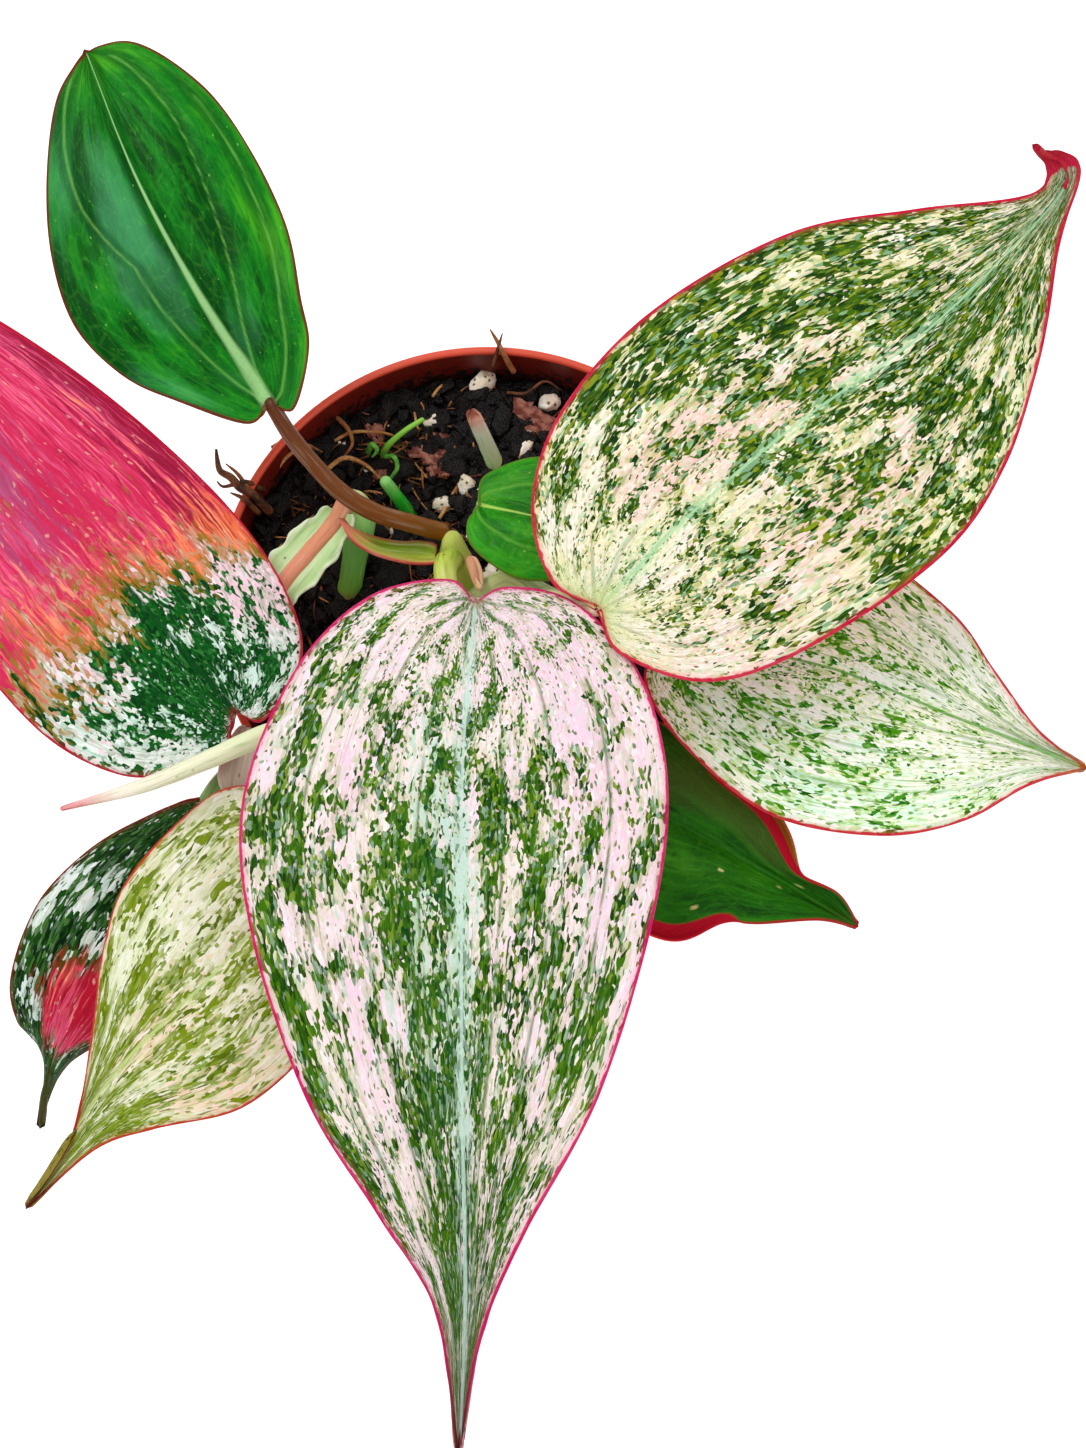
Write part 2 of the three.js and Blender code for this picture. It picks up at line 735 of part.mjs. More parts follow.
// Dark crumbs of bark and root over the whole surface, spread by a sunflower rule, but clear of what
// stands in the soil along the paths.
function crumbs(paths) {
  const feet = paths.flatMap((path) => smooth(path).getSpacedPoints(40));
  const near = feet.filter((p) => Math.abs(p.z - SOIL_TOP) < CRUMB_CLEAR);
  const roll = dice(11);
  const shapes = [];
  for (let i = 0; i < CRUMBS; i++) {
    const radius = CRUMB_REACH * Math.sqrt((i + 0.6) / CRUMBS);
    const turn = i * GOLDEN_TURN + 0.3 * roll();
    const size = [1.2 + 1.1 * roll(), 0.9 + 0.8 * roll(), 0.8 + 0.7 * roll()];
    const [x, y, spin] = [radius * Math.cos(turn), radius * Math.sin(turn), 6 * roll()];
    if (near.some((p) => Math.hypot(p.x - x, p.y - y) < CRUMB_CLEAR)) continue;
    shapes.push(grain(new THREE.OctahedronGeometry(1), x, y, size, spin));
  }
  return shapes;
}

function soil(paths, standing) {
  const pieces = [
    soilBody(),
    ...crumbs(paths),
    ...perlite.map(([x, y, a, b, c, turn]) => grain(new THREE.IcosahedronGeometry(1), x, y, [a, b, c], turn)),
    ...bark.map(([x, y, a, b, c, turn, slant]) => chip(x, y, [a, b, c], turn, slant)),
  ];
  return join(pieces).subtract(join(standing));
}

// A petiole's thin wings: a flat sheath that hugs it on both sides for part of its length.
function wings(leaf, grow = 0) {
  const curve = smooth(leaf.petiole);
  const { start, end, reach } = leaf.wings;
  const rings = [];
  for (let r = 0; r <= WING_STEPS; r++) {
    const share = start + ((end - start) * r) / WING_STEPS;
    const centre = curve.getPointAt(share);
    const ahead = curve.getTangentAt(share);
    const side = new THREE.Vector3(-ahead.y, ahead.x, 0).normalize();
    const swell = Math.sin(Math.PI * (0.12 + (0.76 * r) / WING_STEPS)) ** 0.6;
    const wide = reach * swell + WING_WAVE * Math.sin(2.1 * r) + grow;
    const thick = WING_THICK / 2 + grow;
    const place = (out, lift) => centre.clone().addScaledVector(side, out).add(new THREE.Vector3(0, 0, lift));
    rings.push([
      place(-wide, WING_LIFT + thick),
      place(-wide, WING_LIFT - thick),
      place(0, -thick),
      place(wide, WING_LIFT - thick),
      place(wide, WING_LIFT + thick),
      place(0, thick),
    ]);
  }
  return skin(rings);
}

const root = new THREE.Group();

function add(name, shape, colour, roughness) {
  const material = new THREE.MeshStandardMaterial({ color: colour, roughness, metalness: 0 });
  const mesh = new THREE.Mesh(geometryOf(shape), material);
  mesh.name = name;
  root.add(mesh);
}

// A leaf's petiole, or its petiole with wings. grow makes the room that it needs in what holds it.
function leafStalk(leaf, grow = 0) {
  const round = stalk(leaf.petiole, leaf.thick, grow);
  return leaf.wings ? round.add(wings(leaf, grow)) : round;
}

const feet = Object.values(leaves).map((leaf) => leafStalk(leaf, GAP));
const newLeafFoot = stalk(stems.leaf_new_rolled.path, stems.leaf_new_rolled.thick, GAP);
const room = join([...feet, newLeafFoot]);
const standing = ["stem_main", "stem_left", "stem_cut", "stalk_green", "sprout_thin"];
const paths = [...Object.values(stems), ...Object.values(leaves)].map((piece) => piece.path ?? piece.petiole);
const sockets = [...standing.map((name) => stalk(stems[name].path, stems[name].thick, GAP)), room];

add("pot", pot(), 0xc4502f, 0.5);
add("soil", soil(paths, sockets), 0x231d1b, 0.9);
for (const [name, stem] of Object.entries(stems)) {
  const shape = stalk(stem.path, stem.thick);
  add(name, standing.includes(name) ? shape.subtract(room) : shape, stem.colour, 0.5);
}
for (const [name, leaf] of Object.entries(leaves)) {
  add(name, blade(leaf).add(leafStalk(leaf)), leaf.colour, 0.6);
}
for (const [name, sheath] of Object.entries(sheaths)) {
  add(name, blade(sheath), sheath.colour, 0.7);
}

export default root;
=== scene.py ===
"""A potted philodendron with large variegated leaves, dressed for the studio. Sizes in millimetres."""

import math
import random

import bpy
import numpy as np
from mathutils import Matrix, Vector, noise


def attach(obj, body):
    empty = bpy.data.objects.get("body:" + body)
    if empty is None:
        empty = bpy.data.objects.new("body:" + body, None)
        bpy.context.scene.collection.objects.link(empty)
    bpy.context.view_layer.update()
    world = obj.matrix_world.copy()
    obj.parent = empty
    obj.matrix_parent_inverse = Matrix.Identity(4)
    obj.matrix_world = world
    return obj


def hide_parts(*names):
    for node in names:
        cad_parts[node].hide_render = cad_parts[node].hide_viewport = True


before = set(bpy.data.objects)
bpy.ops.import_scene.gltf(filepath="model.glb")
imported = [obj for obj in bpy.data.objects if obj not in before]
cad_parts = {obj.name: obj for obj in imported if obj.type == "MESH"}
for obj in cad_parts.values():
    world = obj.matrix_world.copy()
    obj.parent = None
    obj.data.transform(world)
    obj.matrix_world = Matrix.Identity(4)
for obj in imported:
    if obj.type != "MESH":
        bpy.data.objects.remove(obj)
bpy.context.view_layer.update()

MM = 0.001

# The camera, from above and a little in front, as the photograph was taken
CAMERA_AT = (9.3, -121.7, 516.5)
CAMERA_TILT = 13.0
LENS = 68.54
SENSOR = 36

# The pot and its soil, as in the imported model
POT_HEIGHT = 78
RIM_RADIUS = 45
LIP_WIDTH = 1.3
WALL = 1.3
BAND_HEIGHT = 10
BASE_RADIUS = 31
FLOOR = 2.6
FOOT_RECESS = 1.2
FOOT_RING = 5
BAND_DRAFT = 0.9
POT_SIDES = 160
BOSS_RADIUS = 10
DRAIN_RADIUS = 2.6
DRAIN_RING = 18.5
DRAIN_COUNT = 6
DRAIN_SIDES = 32
SOIL_TOP = 70.5
SOIL_RISE = 2.2
BED_SIDES = 150
BED_RINGS = 44
BED_GAP = 0.3

# The plant's meshes and skins
MIDRIB_PACE = 1.6
BLADE_THICK = 0.45
EDGE_BULGE = 0.12
WING_THICK = 0.5
WING_MESH = (90, 14)
SHEATH_MESH = (60, 14)
CURVE_STEPS = 40
SEED_PACE = 3.7
TUBE_SIDES = 28
TUBE_STEP = 0.9
TUBE_LUMPS = 0.05
LEAF_SHINE = 0.07
STALK_SHINE = 0.25

# What the soil is made of, in the order of its materials
CRUMB, PERLITE, BARK, STRAW, DARK_ROOT, RED_ROOT, SHOOT = range(7)

# How much lies about on it at random, and how far from the middle
CRUMB_COUNT, CRUMB_REACH = 3000, 41
PERLITE_COUNT, PERLITE_REACH = 70, 40
CHIP_COUNT, CHIP_REACH = 40, 39
FIBRE_COUNT, FIBRE_REACH, FIBRE_END = 300, 40, 41.2
FIBRE_STEPS = 5

# The least length to divide by, and how far away a vein no longer shows
TINY = 1e-9
FAR = 9.0

# The leaves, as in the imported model: outlines in (along, across), midribs with their heights
LEAVES = {
    "leaf_green_oval": {
        "base": (-34, 25.5), "heading": 117.8, "half_width": 20,
        "midrib": [(0, 0, 104), (21, 2, 108), (42, 2.2, 111), (64, 0, 112)],
        "left": [
            (0, 0), (-1.5, 4.5), (7.5, 13), (15, 18.5), (25, 21.5), (36, 20), (47, 15.5), (58.5, 8),
            (64, 0),
        ],
        "right": [(0, 0), (-3, 3), (4.5, 9.5), (12, 12), (24, 15.5), (38, 16), (50, 14), (61, 8), (64, 0)],
        "fold": 0.1, "arch": 3.5, "tilt": -1.5, "ripple": 0.5, "waves": 2,
        "petiole": [
            (-8, 9.6, 87.4), (-12.3, 9.8, 91), (-17.9, 10.6, 94.5), (-22.7, 12.8, 97.5), (-30.2, 20.2, 102),
            (-34.2, 26.4, 103.8),
        ],
        "thick": [1.5, 1.5, 1.4, 1.2],
    },
    "leaf_pink_left": {
        "base": (-39.7, -21.3), "heading": 132.4, "half_width": 23,
        "midrib": [(0, 0, 90.3), (26, -0.5, 95), (52, 0, 99.5), (78, -0.5, 101), (103, 0, 98)],
        "left": [(0, 0), (-4, 5.5), (-2, 11.5), (5, 20), (19, 25), (40, 24), (62, 18), (84, 8), (103, 0)],
        "right": [
            (0, 0), (-4.5, 2.5), (-1.5, 13), (7.5, 18.5), (22.5, 21), (43, 19.5), (65.5, 15), (86.5, 8),
            (103, 0),
        ],
        "fold": 0.12, "arch": 5.5, "tilt": -1.5, "ripple": 0.7, "waves": 2,
        "petiole": [
            (-22.6, 17, 83.6), (-24.6, 11.4, 86), (-28.4, 6.1, 87.3), (-33.1, -0.4, 88),
            (-37.7, -10.7, 88.5), (-39.9, -20.4, 89.8),
        ],
        "thick": [1.5, 1.5, 1.4, 1.2], "wings": {"start": 0.1, "end": 0.6, "reach": 4.2},
    },
    "leaf_half_red": {
        "base": (-44.8, -34.4), "heading": -121, "half_width": 16,
        "midrib": [(0, 0, 84.3), (19, -1.2, 81), (38, -2, 72), (50, -1.6, 63), (58, 0, 53)],
        "left": [
            (0, 0), (-1.5, 4), (3, 9.5), (12, 14), (24, 15), (34, 11), (41.5, 3.5), (48.5, -0.4), (58, 0),
        ],
        "right": [
            (0, 0), (1.5, 2.5), (6.5, 6.5), (15.5, 12), (27, 15.5), (39, 14), (45, 10), (47, 5), (58, 0),
        ],
        "fold": 0.08, "arch": 3, "tilt": 0, "ripple": 0.5, "waves": 2,
        "petiole": [
            (-6.4, -6.7, 76), (-21.9, -18.5, 82), (-35.8, -25.8, 83.4), (-42, -30.4, 83.6),
            (-45.2, -35, 83.9),
        ],
        "thick": [1.5, 1.4, 1.3, 1.1],
    },
    "leaf_cream_left": {
        "base": (-24.3, -42.4), "heading": -132.4, "half_width": 20,
        "midrib": [(0, 0, 92), (25, 1, 90.5), (50, -1.2, 81), (75, 0, 62)],
        "left": [(0, 0), (-3, 6), (1, 13.5), (10, 18.5), (24, 20), (39, 18), (51, 9.5), (60, 3.6), (75, 0)],
        "right": [
            (0, 0), (-3, 6), (0.5, 13.5), (7, 19.5), (24, 20), (35.5, 15.5), (47.5, 7.5), (60.5, 1),
            (75, 0),
        ],
        "fold": 0.1, "arch": 4, "tilt": 0, "ripple": 0.6, "waves": 2.5,
        "petiole": [(-4.8, -10.6, 76), (-13.6, -25, 85.5), (-24.6, -43, 91.5)], "thick": [1.6, 1.5, 1.2],
    },
    "leaf_front": {
        "base": (-1.1, -7.9), "heading": -91.4, "half_width": 33,
        "midrib": [
            (0, 0, 108), (26, -1, 112), (52, -0.5, 109.5), (78, 0.2, 101), (104, 1, 87), (128.5, 0.3, 66),
        ],
        "left": [
            (0, 0), (-2, 5), (0.5, 15.5), (12, 25.5), (29, 30), (49, 28), (75, 20.5), (95, 10), (109, 4),
            (128.5, 0),
        ],
        "right": [
            (0, 0), (-3, 4.5), (0.5, 16.5), (12, 27), (32, 34), (52.5, 32), (76.5, 23), (93, 12),
            (107, 3.4), (128.5, 0),
        ],
        "fold": 0.1, "arch": 6, "tilt": 0, "ripple": 0.8, "waves": 3,
        "petiole": [
            (-5, 4.2, 86.5), (-5.8, 3.6, 91), (-6.2, 0.5, 96), (-5.2, -5.2, 102), (-1.6, -8.7, 107.2),
        ],
        "thick": [2, 1.9, 1.7, 1.4],
    },
    "leaf_upper_right": {
        "base": (17.7, -10.1), "heading": 42, "half_width": 29,
        "midrib": [
            (0, 0, 111), (21, 1, 115), (42, 0, 118), (63, -2.6, 120), (84, -2, 122), (97, 0, 123.5),
            (95.5, 6.2, 127.5),
        ],
        "left": [
            (0, 0), (-2.5, 8), (3.5, 19), (16.5, 26.5), (38, 29), (61, 24), (77, 13), (90, 3), (95, 2.5),
            (95, 6.6),
        ],
        "right": [
            (0, 0), (-2.5, 7.5), (4, 19.5), (18.5, 26), (43, 29.5), (59.5, 26), (75.5, 17), (89, 6.6),
            (100, -0.5), (95, -6.6),
        ],
        "fold": 0.1, "arch": 4.5, "tilt": 0, "ripple": 0.8, "waves": 3,
        "petiole": [
            (-3.4, -1, 81.5), (-1, -0.6, 85), (1.8, 0.2, 89), (4.8, 0.3, 92.2), (9.2, -3.4, 96),
            (12.6, -6.4, 101.4), (18.2, -9.9, 110.6),
        ],
        "thick": [1.8, 1.7, 1.6, 1.3],
    },
    "leaf_mint_right": {
        "base": (34.3, -10), "heading": -17.3, "half_width": 22,
        "midrib": [(0, 0, 93), (22, 1, 95), (43, 0, 92), (65, 0, 85)],
        "left": [(0, 0), (-4, 6), (-1, 14), (8, 20), (21, 22), (37, 16), (46, 9), (55.5, 2.5), (65, 0)],
        "right": [
            (0, 0), (-6.5, 5.5), (-5, 11.5), (4.5, 18.5), (19.5, 24), (36, 22), (48, 15.5), (56.5, 6.5),
            (65, 0),
        ],
        "fold": 0.1, "arch": 4, "tilt": 0, "ripple": 0.6, "waves": 2.5,
        "petiole": [(-1.6, -6.5, 79.5), (12, -8.4, 86), (24.8, -9.7, 90.5), (34.8, -10.2, 92.6)],
        "thick": [1.6, 1.5, 1.2],
    },
    "leaf_green_right": {
        "base": (12.8, -30.3), "heading": -24.9, "half_width": 18,
        "midrib": [(0, 0, 84), (18, 0.5, 84.5), (36, 0, 80), (53, 0, 70)],
        "left": [(0, 0), (-3, 5), (0, 11), (8, 14.5), (19, 12), (32, 8.5), (40.5, 2), (48, 2.2), (53, 0)],
        "right": [
            (0, 0), (-3, 5), (0, 12), (9.5, 16.5), (25.5, 17.5), (33, 11), (38.5, 8), (47, 2.6), (53, 0),
        ],
        "fold": 0.08, "arch": 2.5, "tilt": 0, "ripple": 0.4, "waves": 2,
        "petiole": [(-1.6, -12.2, 76), (4.8, -19.6, 80), (13.2, -30.6, 83.7)], "thick": [1.5, 1.4, 1.1],
        "rolls": [
            {"side": 1, "from": 0.78, "start": 0.5, "end": 0.79, "radius": 2.6, "width": 4.4},
            {"side": -1, "from": 0.83, "start": 0.15, "end": 0.69, "radius": 3.2, "width": 5},
        ],
    },
    "leaf_small_round": {
        "base": (-0.7, 10.1), "heading": -16.6, "half_width": 10,
        "midrib": [(0, 0, 100), (8, 0, 102), (16, 0, 102), (23.3, 0, 100)],
        "left": [
            (0, 0), (-1, 3.4), (0.5, 5.8), (4.4, 8.8), (8.8, 10.2), (13.6, 9.7), (18, 6.8), (21.4, 3.4),
            (23.3, 0),
        ],
        "right": [
            (0, 0), (-1, 3.4), (0.5, 6.8), (4.9, 9.2), (9.7, 10.2), (14.6, 9.2), (19, 7.3), (21.8, 3),
            (23.3, 0),
        ],
        "fold": 0.12, "arch": 1.8, "tilt": 0, "ripple": 0.2, "waves": 2,
        "petiole": [(2.4, 17.6, 66), (1.4, 15.2, 82), (-0.6, 10.3, 99.4)], "thick": [1.1, 1, 0.8],
    },
}

# The rolled new leaf is a little thinner here than its solid
STEMS = {
    "stem_main": {
        "path": [(-2.5, -12.4, 58), (-3.2, -8.8, 69), (-4.1, -1, 77), (-5, 5, 83), (-5.5, 9, 88.6)],
        "thick": [4.6, 4.4, 4.1, 3.7, 3.2, 1.3],
    },
    "stem_left": {
        "path": [(-24.2, 1, 58), (-23.5, 2.4, 70), (-22.1, 7.4, 76.5), (-21.3, 13, 80.5), (-22, 17.6, 83)],
        "thick": [2.4, 2.4, 2.6, 2, 2.1, 2.9, 2.5],
    },
    "stem_cut": {
        "path": [(2.8, 24.4, 58), (1.7, 25.3, 70), (-0.4, 28.2, 78), (-2.3, 30.7, 84)],
        "thick": [1.6, 1.5, 1.4, 1.2],
    },
    "stalk_green": {
        "path": [(-10.8, 16.2, 60), (-12.9, 17.2, 71), (-15.2, 18.6, 78), (-17.1, 20.3, 82)],
        "thick": [1.1, 1.1, 1.1, 1],
    },
    "sprout_thin": {
        "path": [(-18.4, 27.8, 66), (-16.8, 28.3, 75), (-13.8, 30.3, 77), (-10.7, 32.6, 76.4)],
        "thick": [0.7, 0.6, 0.5, 0.4],
    },
    "leaf_new_rolled": {
        "path": [
            (-6.4, -4.6, 82), (-13.4, -15.3, 90.5), (-24.1, -22.4, 95.5), (-34.1, -26.6, 97),
            (-51.9, -34.1, 96), (-66.1, -37.8, 94),
        ],
        "thick": [1.3, 1.55, 1.7, 1.6, 1.2, 0.38],
    },
}

SHEATHS = {
    "cataphyll_boat": {
        "base": (-8.2, 5.5), "heading": 161, "half_width": 3,
        "midrib": [(0, 0, 87.2), (5, 0.9, 86.4), (10, 1.5, 86.8), (16.2, 0, 90.4)],
        "left": [(0, 0), (-0.3, 1.4), (4, 2.7), (9, 3.1), (13.5, 2.2), (16.2, 0)],
        "right": [(0, 0), (0.4, 1.4), (2.8, 1.4), (6.6, 0.2), (12, -0.4), (16.2, 0)], "fold": 0.5,
        "arch": 0, "tilt": 0, "ripple": 0, "waves": 1,
    },
    "sheath_pink": {
        "base": (-2.6, 5), "heading": -76, "half_width": 2,
        "midrib": [(0, 0, 88.8), (3.5, 0, 91.4), (7.5, 0.2, 94.6)],
        "left": [(0, 0), (0.8, 0.9), (3.4, 1.3), (6, 0.9), (7.5, 0)],
        "right": [(0, 0), (0.8, 0.7), (3.4, 0.8), (6, 0.6), (7.5, 0)], "fold": 0.2, "arch": 0, "tilt": 0,
        "ripple": 0, "waves": 1,
    },
    "sheath_papery": {
        "base": (-38.2, -23), "heading": -103, "half_width": 3.4,
        "midrib": [(0, 0, 87.2), (4, 0, 87.4), (8, 0, 86.8), (12.4, 0.2, 85.4)],
        "left": [(0, 0), (0.4, 1.4), (4, 2.8), (9, 3), (12.4, 0.2)],
        "right": [(0, 0), (0.4, 1.2), (4, 2.4), (9, 2.4), (12.4, -0.2)], "fold": 0, "arch": 0.8, "tilt": 0,
        "ripple": 0.2, "waves": 2,
    },
}


def hermite(f, start, end, slope_start, slope_end):
    """The cubic between two points, at shares f of the way, with these slopes at its ends."""
    rest = 3 * (end - start) - 2 * slope_start - slope_end
    return start + f * (slope_start + f * (rest + f * (2 * (start - end) + slope_start + slope_end)))


def extended(points):
    """The points with one more at each end, straight on."""
    return np.concatenate([[2 * points[0] - points[1]], points, [2 * points[-1] - points[-2]]])


def along(points, x):
    """Points at shares x of the way along a smooth curve through evenly paced points."""
    points = np.asarray(points, float)
    last = len(points) - 1
    place = np.clip(np.asarray(x, float), 0, 1) * last
    i = np.minimum(place.astype(int), last - 1)
    full = extended(points)
    p0, p1, p2, p3 = full[i], full[i + 1], full[i + 2], full[i + 3]
    return hermite((place - i)[..., None], p1, p2, (p2 - p0) / 2, (p3 - p1) / 2)


def curve(path, shares):
    """Points and unit tangents at shares of the length of a centripetal curve, and that length."""
    path = np.asarray(path, float)
    full = extended(path)
    f = np.linspace(0, 1, CURVE_STEPS + 1)[:, None]
    dense = [path[:1]]
    for k in range(len(path) - 1):
        p0, p1, p2, p3 = full[k : k + 4]
        d0, d1, d2 = (np.linalg.norm(b - a) ** 0.5 for a, b in ((p0, p1), (p1, p2), (p2, p3)))
        t1 = ((p1 - p0) / d0 - (p2 - p0) / (d0 + d1) + (p2 - p1) / d1) * d1
        t2 = ((p2 - p1) / d1 - (p3 - p1) / (d1 + d2) + (p3 - p2) / d2) * d1
        dense.append(hermite(f, p1, p2, t1, t2)[1:])
    dense = np.concatenate(dense)
    run = np.concatenate([[0], np.cumsum(np.linalg.norm(np.diff(dense, axis=0), axis=1))])
    slope = np.gradient(dense, axis=0)
    at = np.asarray(shares, float) * run[-1]
    points, tangents = (
        np.stack([np.interp(at, run, values[:, k]) for k in range(3)], -1) for values in (dense, slope)
    )
    return points, tangents / np.linalg.norm(tangents, axis=1)[:, None], run[-1]


def rough(points, size, seed=0.0):
    """Smooth noise from -1 to 1 at points, its lumps about size millimetres."""
    flat = np.asarray(points, float).reshape(-1, 3) / size + seed
    return np.array([noise.noise(Vector(p)) for p in flat]).reshape(np.shape(points)[:-1])


def full_turn(count):
    """Angles spread evenly over one turn."""
    return np.arange(count) / count * 2 * math.pi


def ring_index(rows, sides):
    """The point numbers of a tube's rings, and the same moved on by one point."""
    index = np.arange(rows * sides).reshape(rows, sides)
    return index, np.roll(index, -1, axis=1)


def tube_faces(rows, sides):
    """The faces of a tube of rings whose ends close on two more points, the first end's first."""
    index, after = ring_index(rows, sides)
    faces = np.stack([index[:-1], after[:-1], after[1:], index[1:]], -1).reshape(-1, 4).tolist()
    total = rows * sides
    faces += [[total, b, a] for a, b in zip(index[0].tolist(), after[0].tolist())]
    faces += [[total + 1, a, b] for a, b in zip(index[-1].tolist(), after[-1].tolist())]
    return faces


def hoops(turn, first, second):
    """Unit circles square to a line, from the two unit vectors that span each."""
    return np.cos(turn)[None, :, None] * first[:, None] + np.sin(turn)[None, :, None] * second[:, None]


class Piece:
    """Points, faces and point attributes gathered into one object."""

    def __init__(self, name, node, materials, angular=()):
        self.name, self.node, self.materials, self.angular = name, node, materials, angular
        self.points, self.faces, self.kinds = [], [], []
        self.values = {}
        self.count = 0

    def add(self, points, faces, material=0, **values):
        points = np.asarray(points, float).reshape(-1, 3)
        self.points.append(points)
        self.faces += [[i + self.count for i in face] for face in faces]
        self.kinds += [material] * len(faces)
        for key, value in values.items():
            value = np.asarray(value, float).reshape(len(points), -1)
            self.values.setdefault(key, []).append((self.count, value))
        self.count += len(points)

    def finish(self):
        mesh = bpy.data.meshes.new(self.name)
        mesh.from_pydata((np.concatenate(self.points) * MM).tolist(), [], self.faces)
        for material in self.materials:
            mesh.materials.append(material)
        mesh.polygons.foreach_set("material_index", self.kinds)
        mesh.polygons.foreach_set("use_smooth", [kind not in self.angular for kind in self.kinds])
        for key, parts in self.values.items():
            wide = parts[0][1].shape[1]
            whole = np.zeros((self.count, wide))
            for start, value in parts:
                whole[start : start + len(value)] = value
            kind, field = ("FLOAT_VECTOR", "vector") if wide == 3 else ("FLOAT", "value")
            mesh.attributes.new(key, kind, "POINT").data.foreach_set(field, whole.ravel())
        mesh.update()
        piece = bpy.data.objects.new(self.name, mesh)
        bpy.context.scene.collection.objects.link(piece)
        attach(piece, "root")
        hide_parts(self.node)
        return piece


def upward(grid, pinched):
    """A grid's unit normals, turned up at its middle, and whether that turned them over."""
    along_rows, along_columns = np.gradient(grid, axis=0), np.gradient(grid, axis=1)
    if pinched:
        along_columns[0], along_columns[-1] = along_columns[1], along_columns[-2]
    normals = np.cross(along_rows, along_columns)
    flip = normals[len(grid) // 2, grid.shape[1] // 2, 2] < 0
    if flip:
        normals = -normals
    normals /= np.maximum(np.linalg.norm(normals, axis=-1), TINY)[..., None]
    return normals, flip


def no_repeats(loop):
    return [a for k, a in enumerate(loop) if a != loop[k - 1]]


def sheet(piece, top, thick, material=0, pinched=False, **values):
    """Adds a thin closed sheet under a grid of points. pinched joins its first and last rows to points."""
    rows, columns = top.shape[:2]
    total = rows * columns
    normals, flip = upward(top, pinched)
    index = np.arange(total).reshape(rows, columns)
    if pinched:
        for r in (0, -1):
            mean = normals[r].mean(axis=0)
            normals[r] = mean / np.linalg.norm(mean)
            index[r] = index[r, 0]
    faces = []
    for r in range(rows - 1):
        for c in range(columns - 1):
            face = no_repeats([index[r, c], index[r + 1, c], index[r + 1, c + 1], index[r, c + 1]])
            faces.append(face[::-1] if flip else face)
    rim = no_repeats([*index[:, 0], *index[-1, 1:], *index[-2::-1, -1], *index[0, -2:0:-1]])
    if flip:
        rim = rim[::-1]
    flat, down = top.reshape(-1, 3), (top - normals * thick).reshape(-1, 3)
    inner = top[:, [1, *range(1, columns - 1), columns - 2]].copy()
    inner[0], inner[-1] = top[1], top[-2]
    away = (top - inner).reshape(-1, 3)[rim]
    away /= np.maximum(np.linalg.norm(away, axis=1), TINY)[:, None]
    edge = (flat[rim] + down[rim]) / 2 + EDGE_BULGE * away
    under = [[a + total for a in face[::-1]] for face in faces]
    ring = []
    for k, a in enumerate(rim):
        j = (k + 1) % len(rim)
        b, e, g = rim[j], 2 * total + k, 2 * total + j
        ring += [[b, a, e, g], [g, e, a + total, b + total]]
    share = np.concatenate([np.zeros(total), np.ones(total), np.full(len(rim), 0.5)])
    for key, value in values.items():
        value = value.reshape(total, -1)
        values[key] = np.concatenate([value, value, value[rim]])
    piece.add(np.concatenate([flat, down, edge]), faces + under + ring, material, under=share, **values)


def rolled(roll, share, side):
    """How strongly a margin rolls over, along the leaf and on the roll's own side."""
    place = np.clip((share - roll["start"]) / (roll["end"] - roll["start"]), 0, 1)
    return np.sin(math.pi * place) * (np.where(side < 0, -1, 1) == roll["side"])


def blade_points(leaf, share, side):
    """The upper surface of a leaf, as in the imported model, and how far each chord reaches out."""
    reach, hand = np.abs(side), np.where(side < 0, -1.0, 1.0)
    rim = np.where((side >= 0)[..., None], along(leaf["left"], share), along(leaf["right"], share))
    mid = along(leaf["midrib"], share**MIDRIB_PACE)
    du, dv = rim[..., 0] - mid[..., 0], rim[..., 1] * hand - mid[..., 1]
    out = np.hypot(du, dv)
    across = out * reach / leaf["half_width"]
    u, v = mid[..., 0] + du * reach, mid[..., 1] + dv * reach
    z = mid[..., 2] + leaf["fold"] * across * leaf["half_width"] - leaf["arch"] * across**2
    z += leaf["tilt"] * across * hand
    z += leaf["ripple"] * across**2 * np.sin(2 * math.pi * leaf["waves"] * share + hand * 1.3)
    for roll in leaf.get("rolls", []):
        window, over = rolled(roll, share, side), np.clip(reach - roll["from"], 0, None)
        turn = over / (1 - roll["from"]) * roll["width"] * window / roll["radius"]
        shift = (roll["radius"] * np.sin(turn) - out * over) * window
        u += du / np.maximum(out, TINY) * shift
        v += dv / np.maximum(out, TINY) * shift
        z += roll["radius"] * (1 - np.cos(turn)) * window
    heading = math.radians(leaf["heading"])
    x = leaf["base"][0] + u * math.cos(heading) - v * math.sin(heading)
    y = leaf["base"][1] + u * math.sin(heading) + v * math.cos(heading)
    return np.stack([x, y, z], -1), out


# The side veins of a leaf, each a line of (share, side)
VEINS = [[(0.02, s * 0.5), (0.2, s), (0.95, s)] for s in (-0.72, -0.45, -0.2, 0.2, 0.45, 0.72)]


def nearest(points, line, batch=40):
    """How far each point is from a line of points, taken in batches to spare memory."""
    flat = points.reshape(-1, 3)
    best = np.full(len(flat), 1e9)
    for start in range(0, len(line), batch):
        part = line[start : start + batch]
        best = np.minimum(best, np.linalg.norm(flat[:, None] - part[None], axis=2).min(axis=1))
    return best.reshape(points.shape[:-1])


def blobs(share, side, marks):
    """The sum of soft spots: (share, side, half length, half width, up to three amounts)."""
    total = np.zeros(share.shape + (3,))
    for at, off, long, wide, *amount in marks:
        spot = np.exp(-(((share - at) / long) ** 2) - ((side - off) / wide) ** 2)
        total += spot[..., None] * np.array(amount + [0] * (3 - len(amount)))
    return total


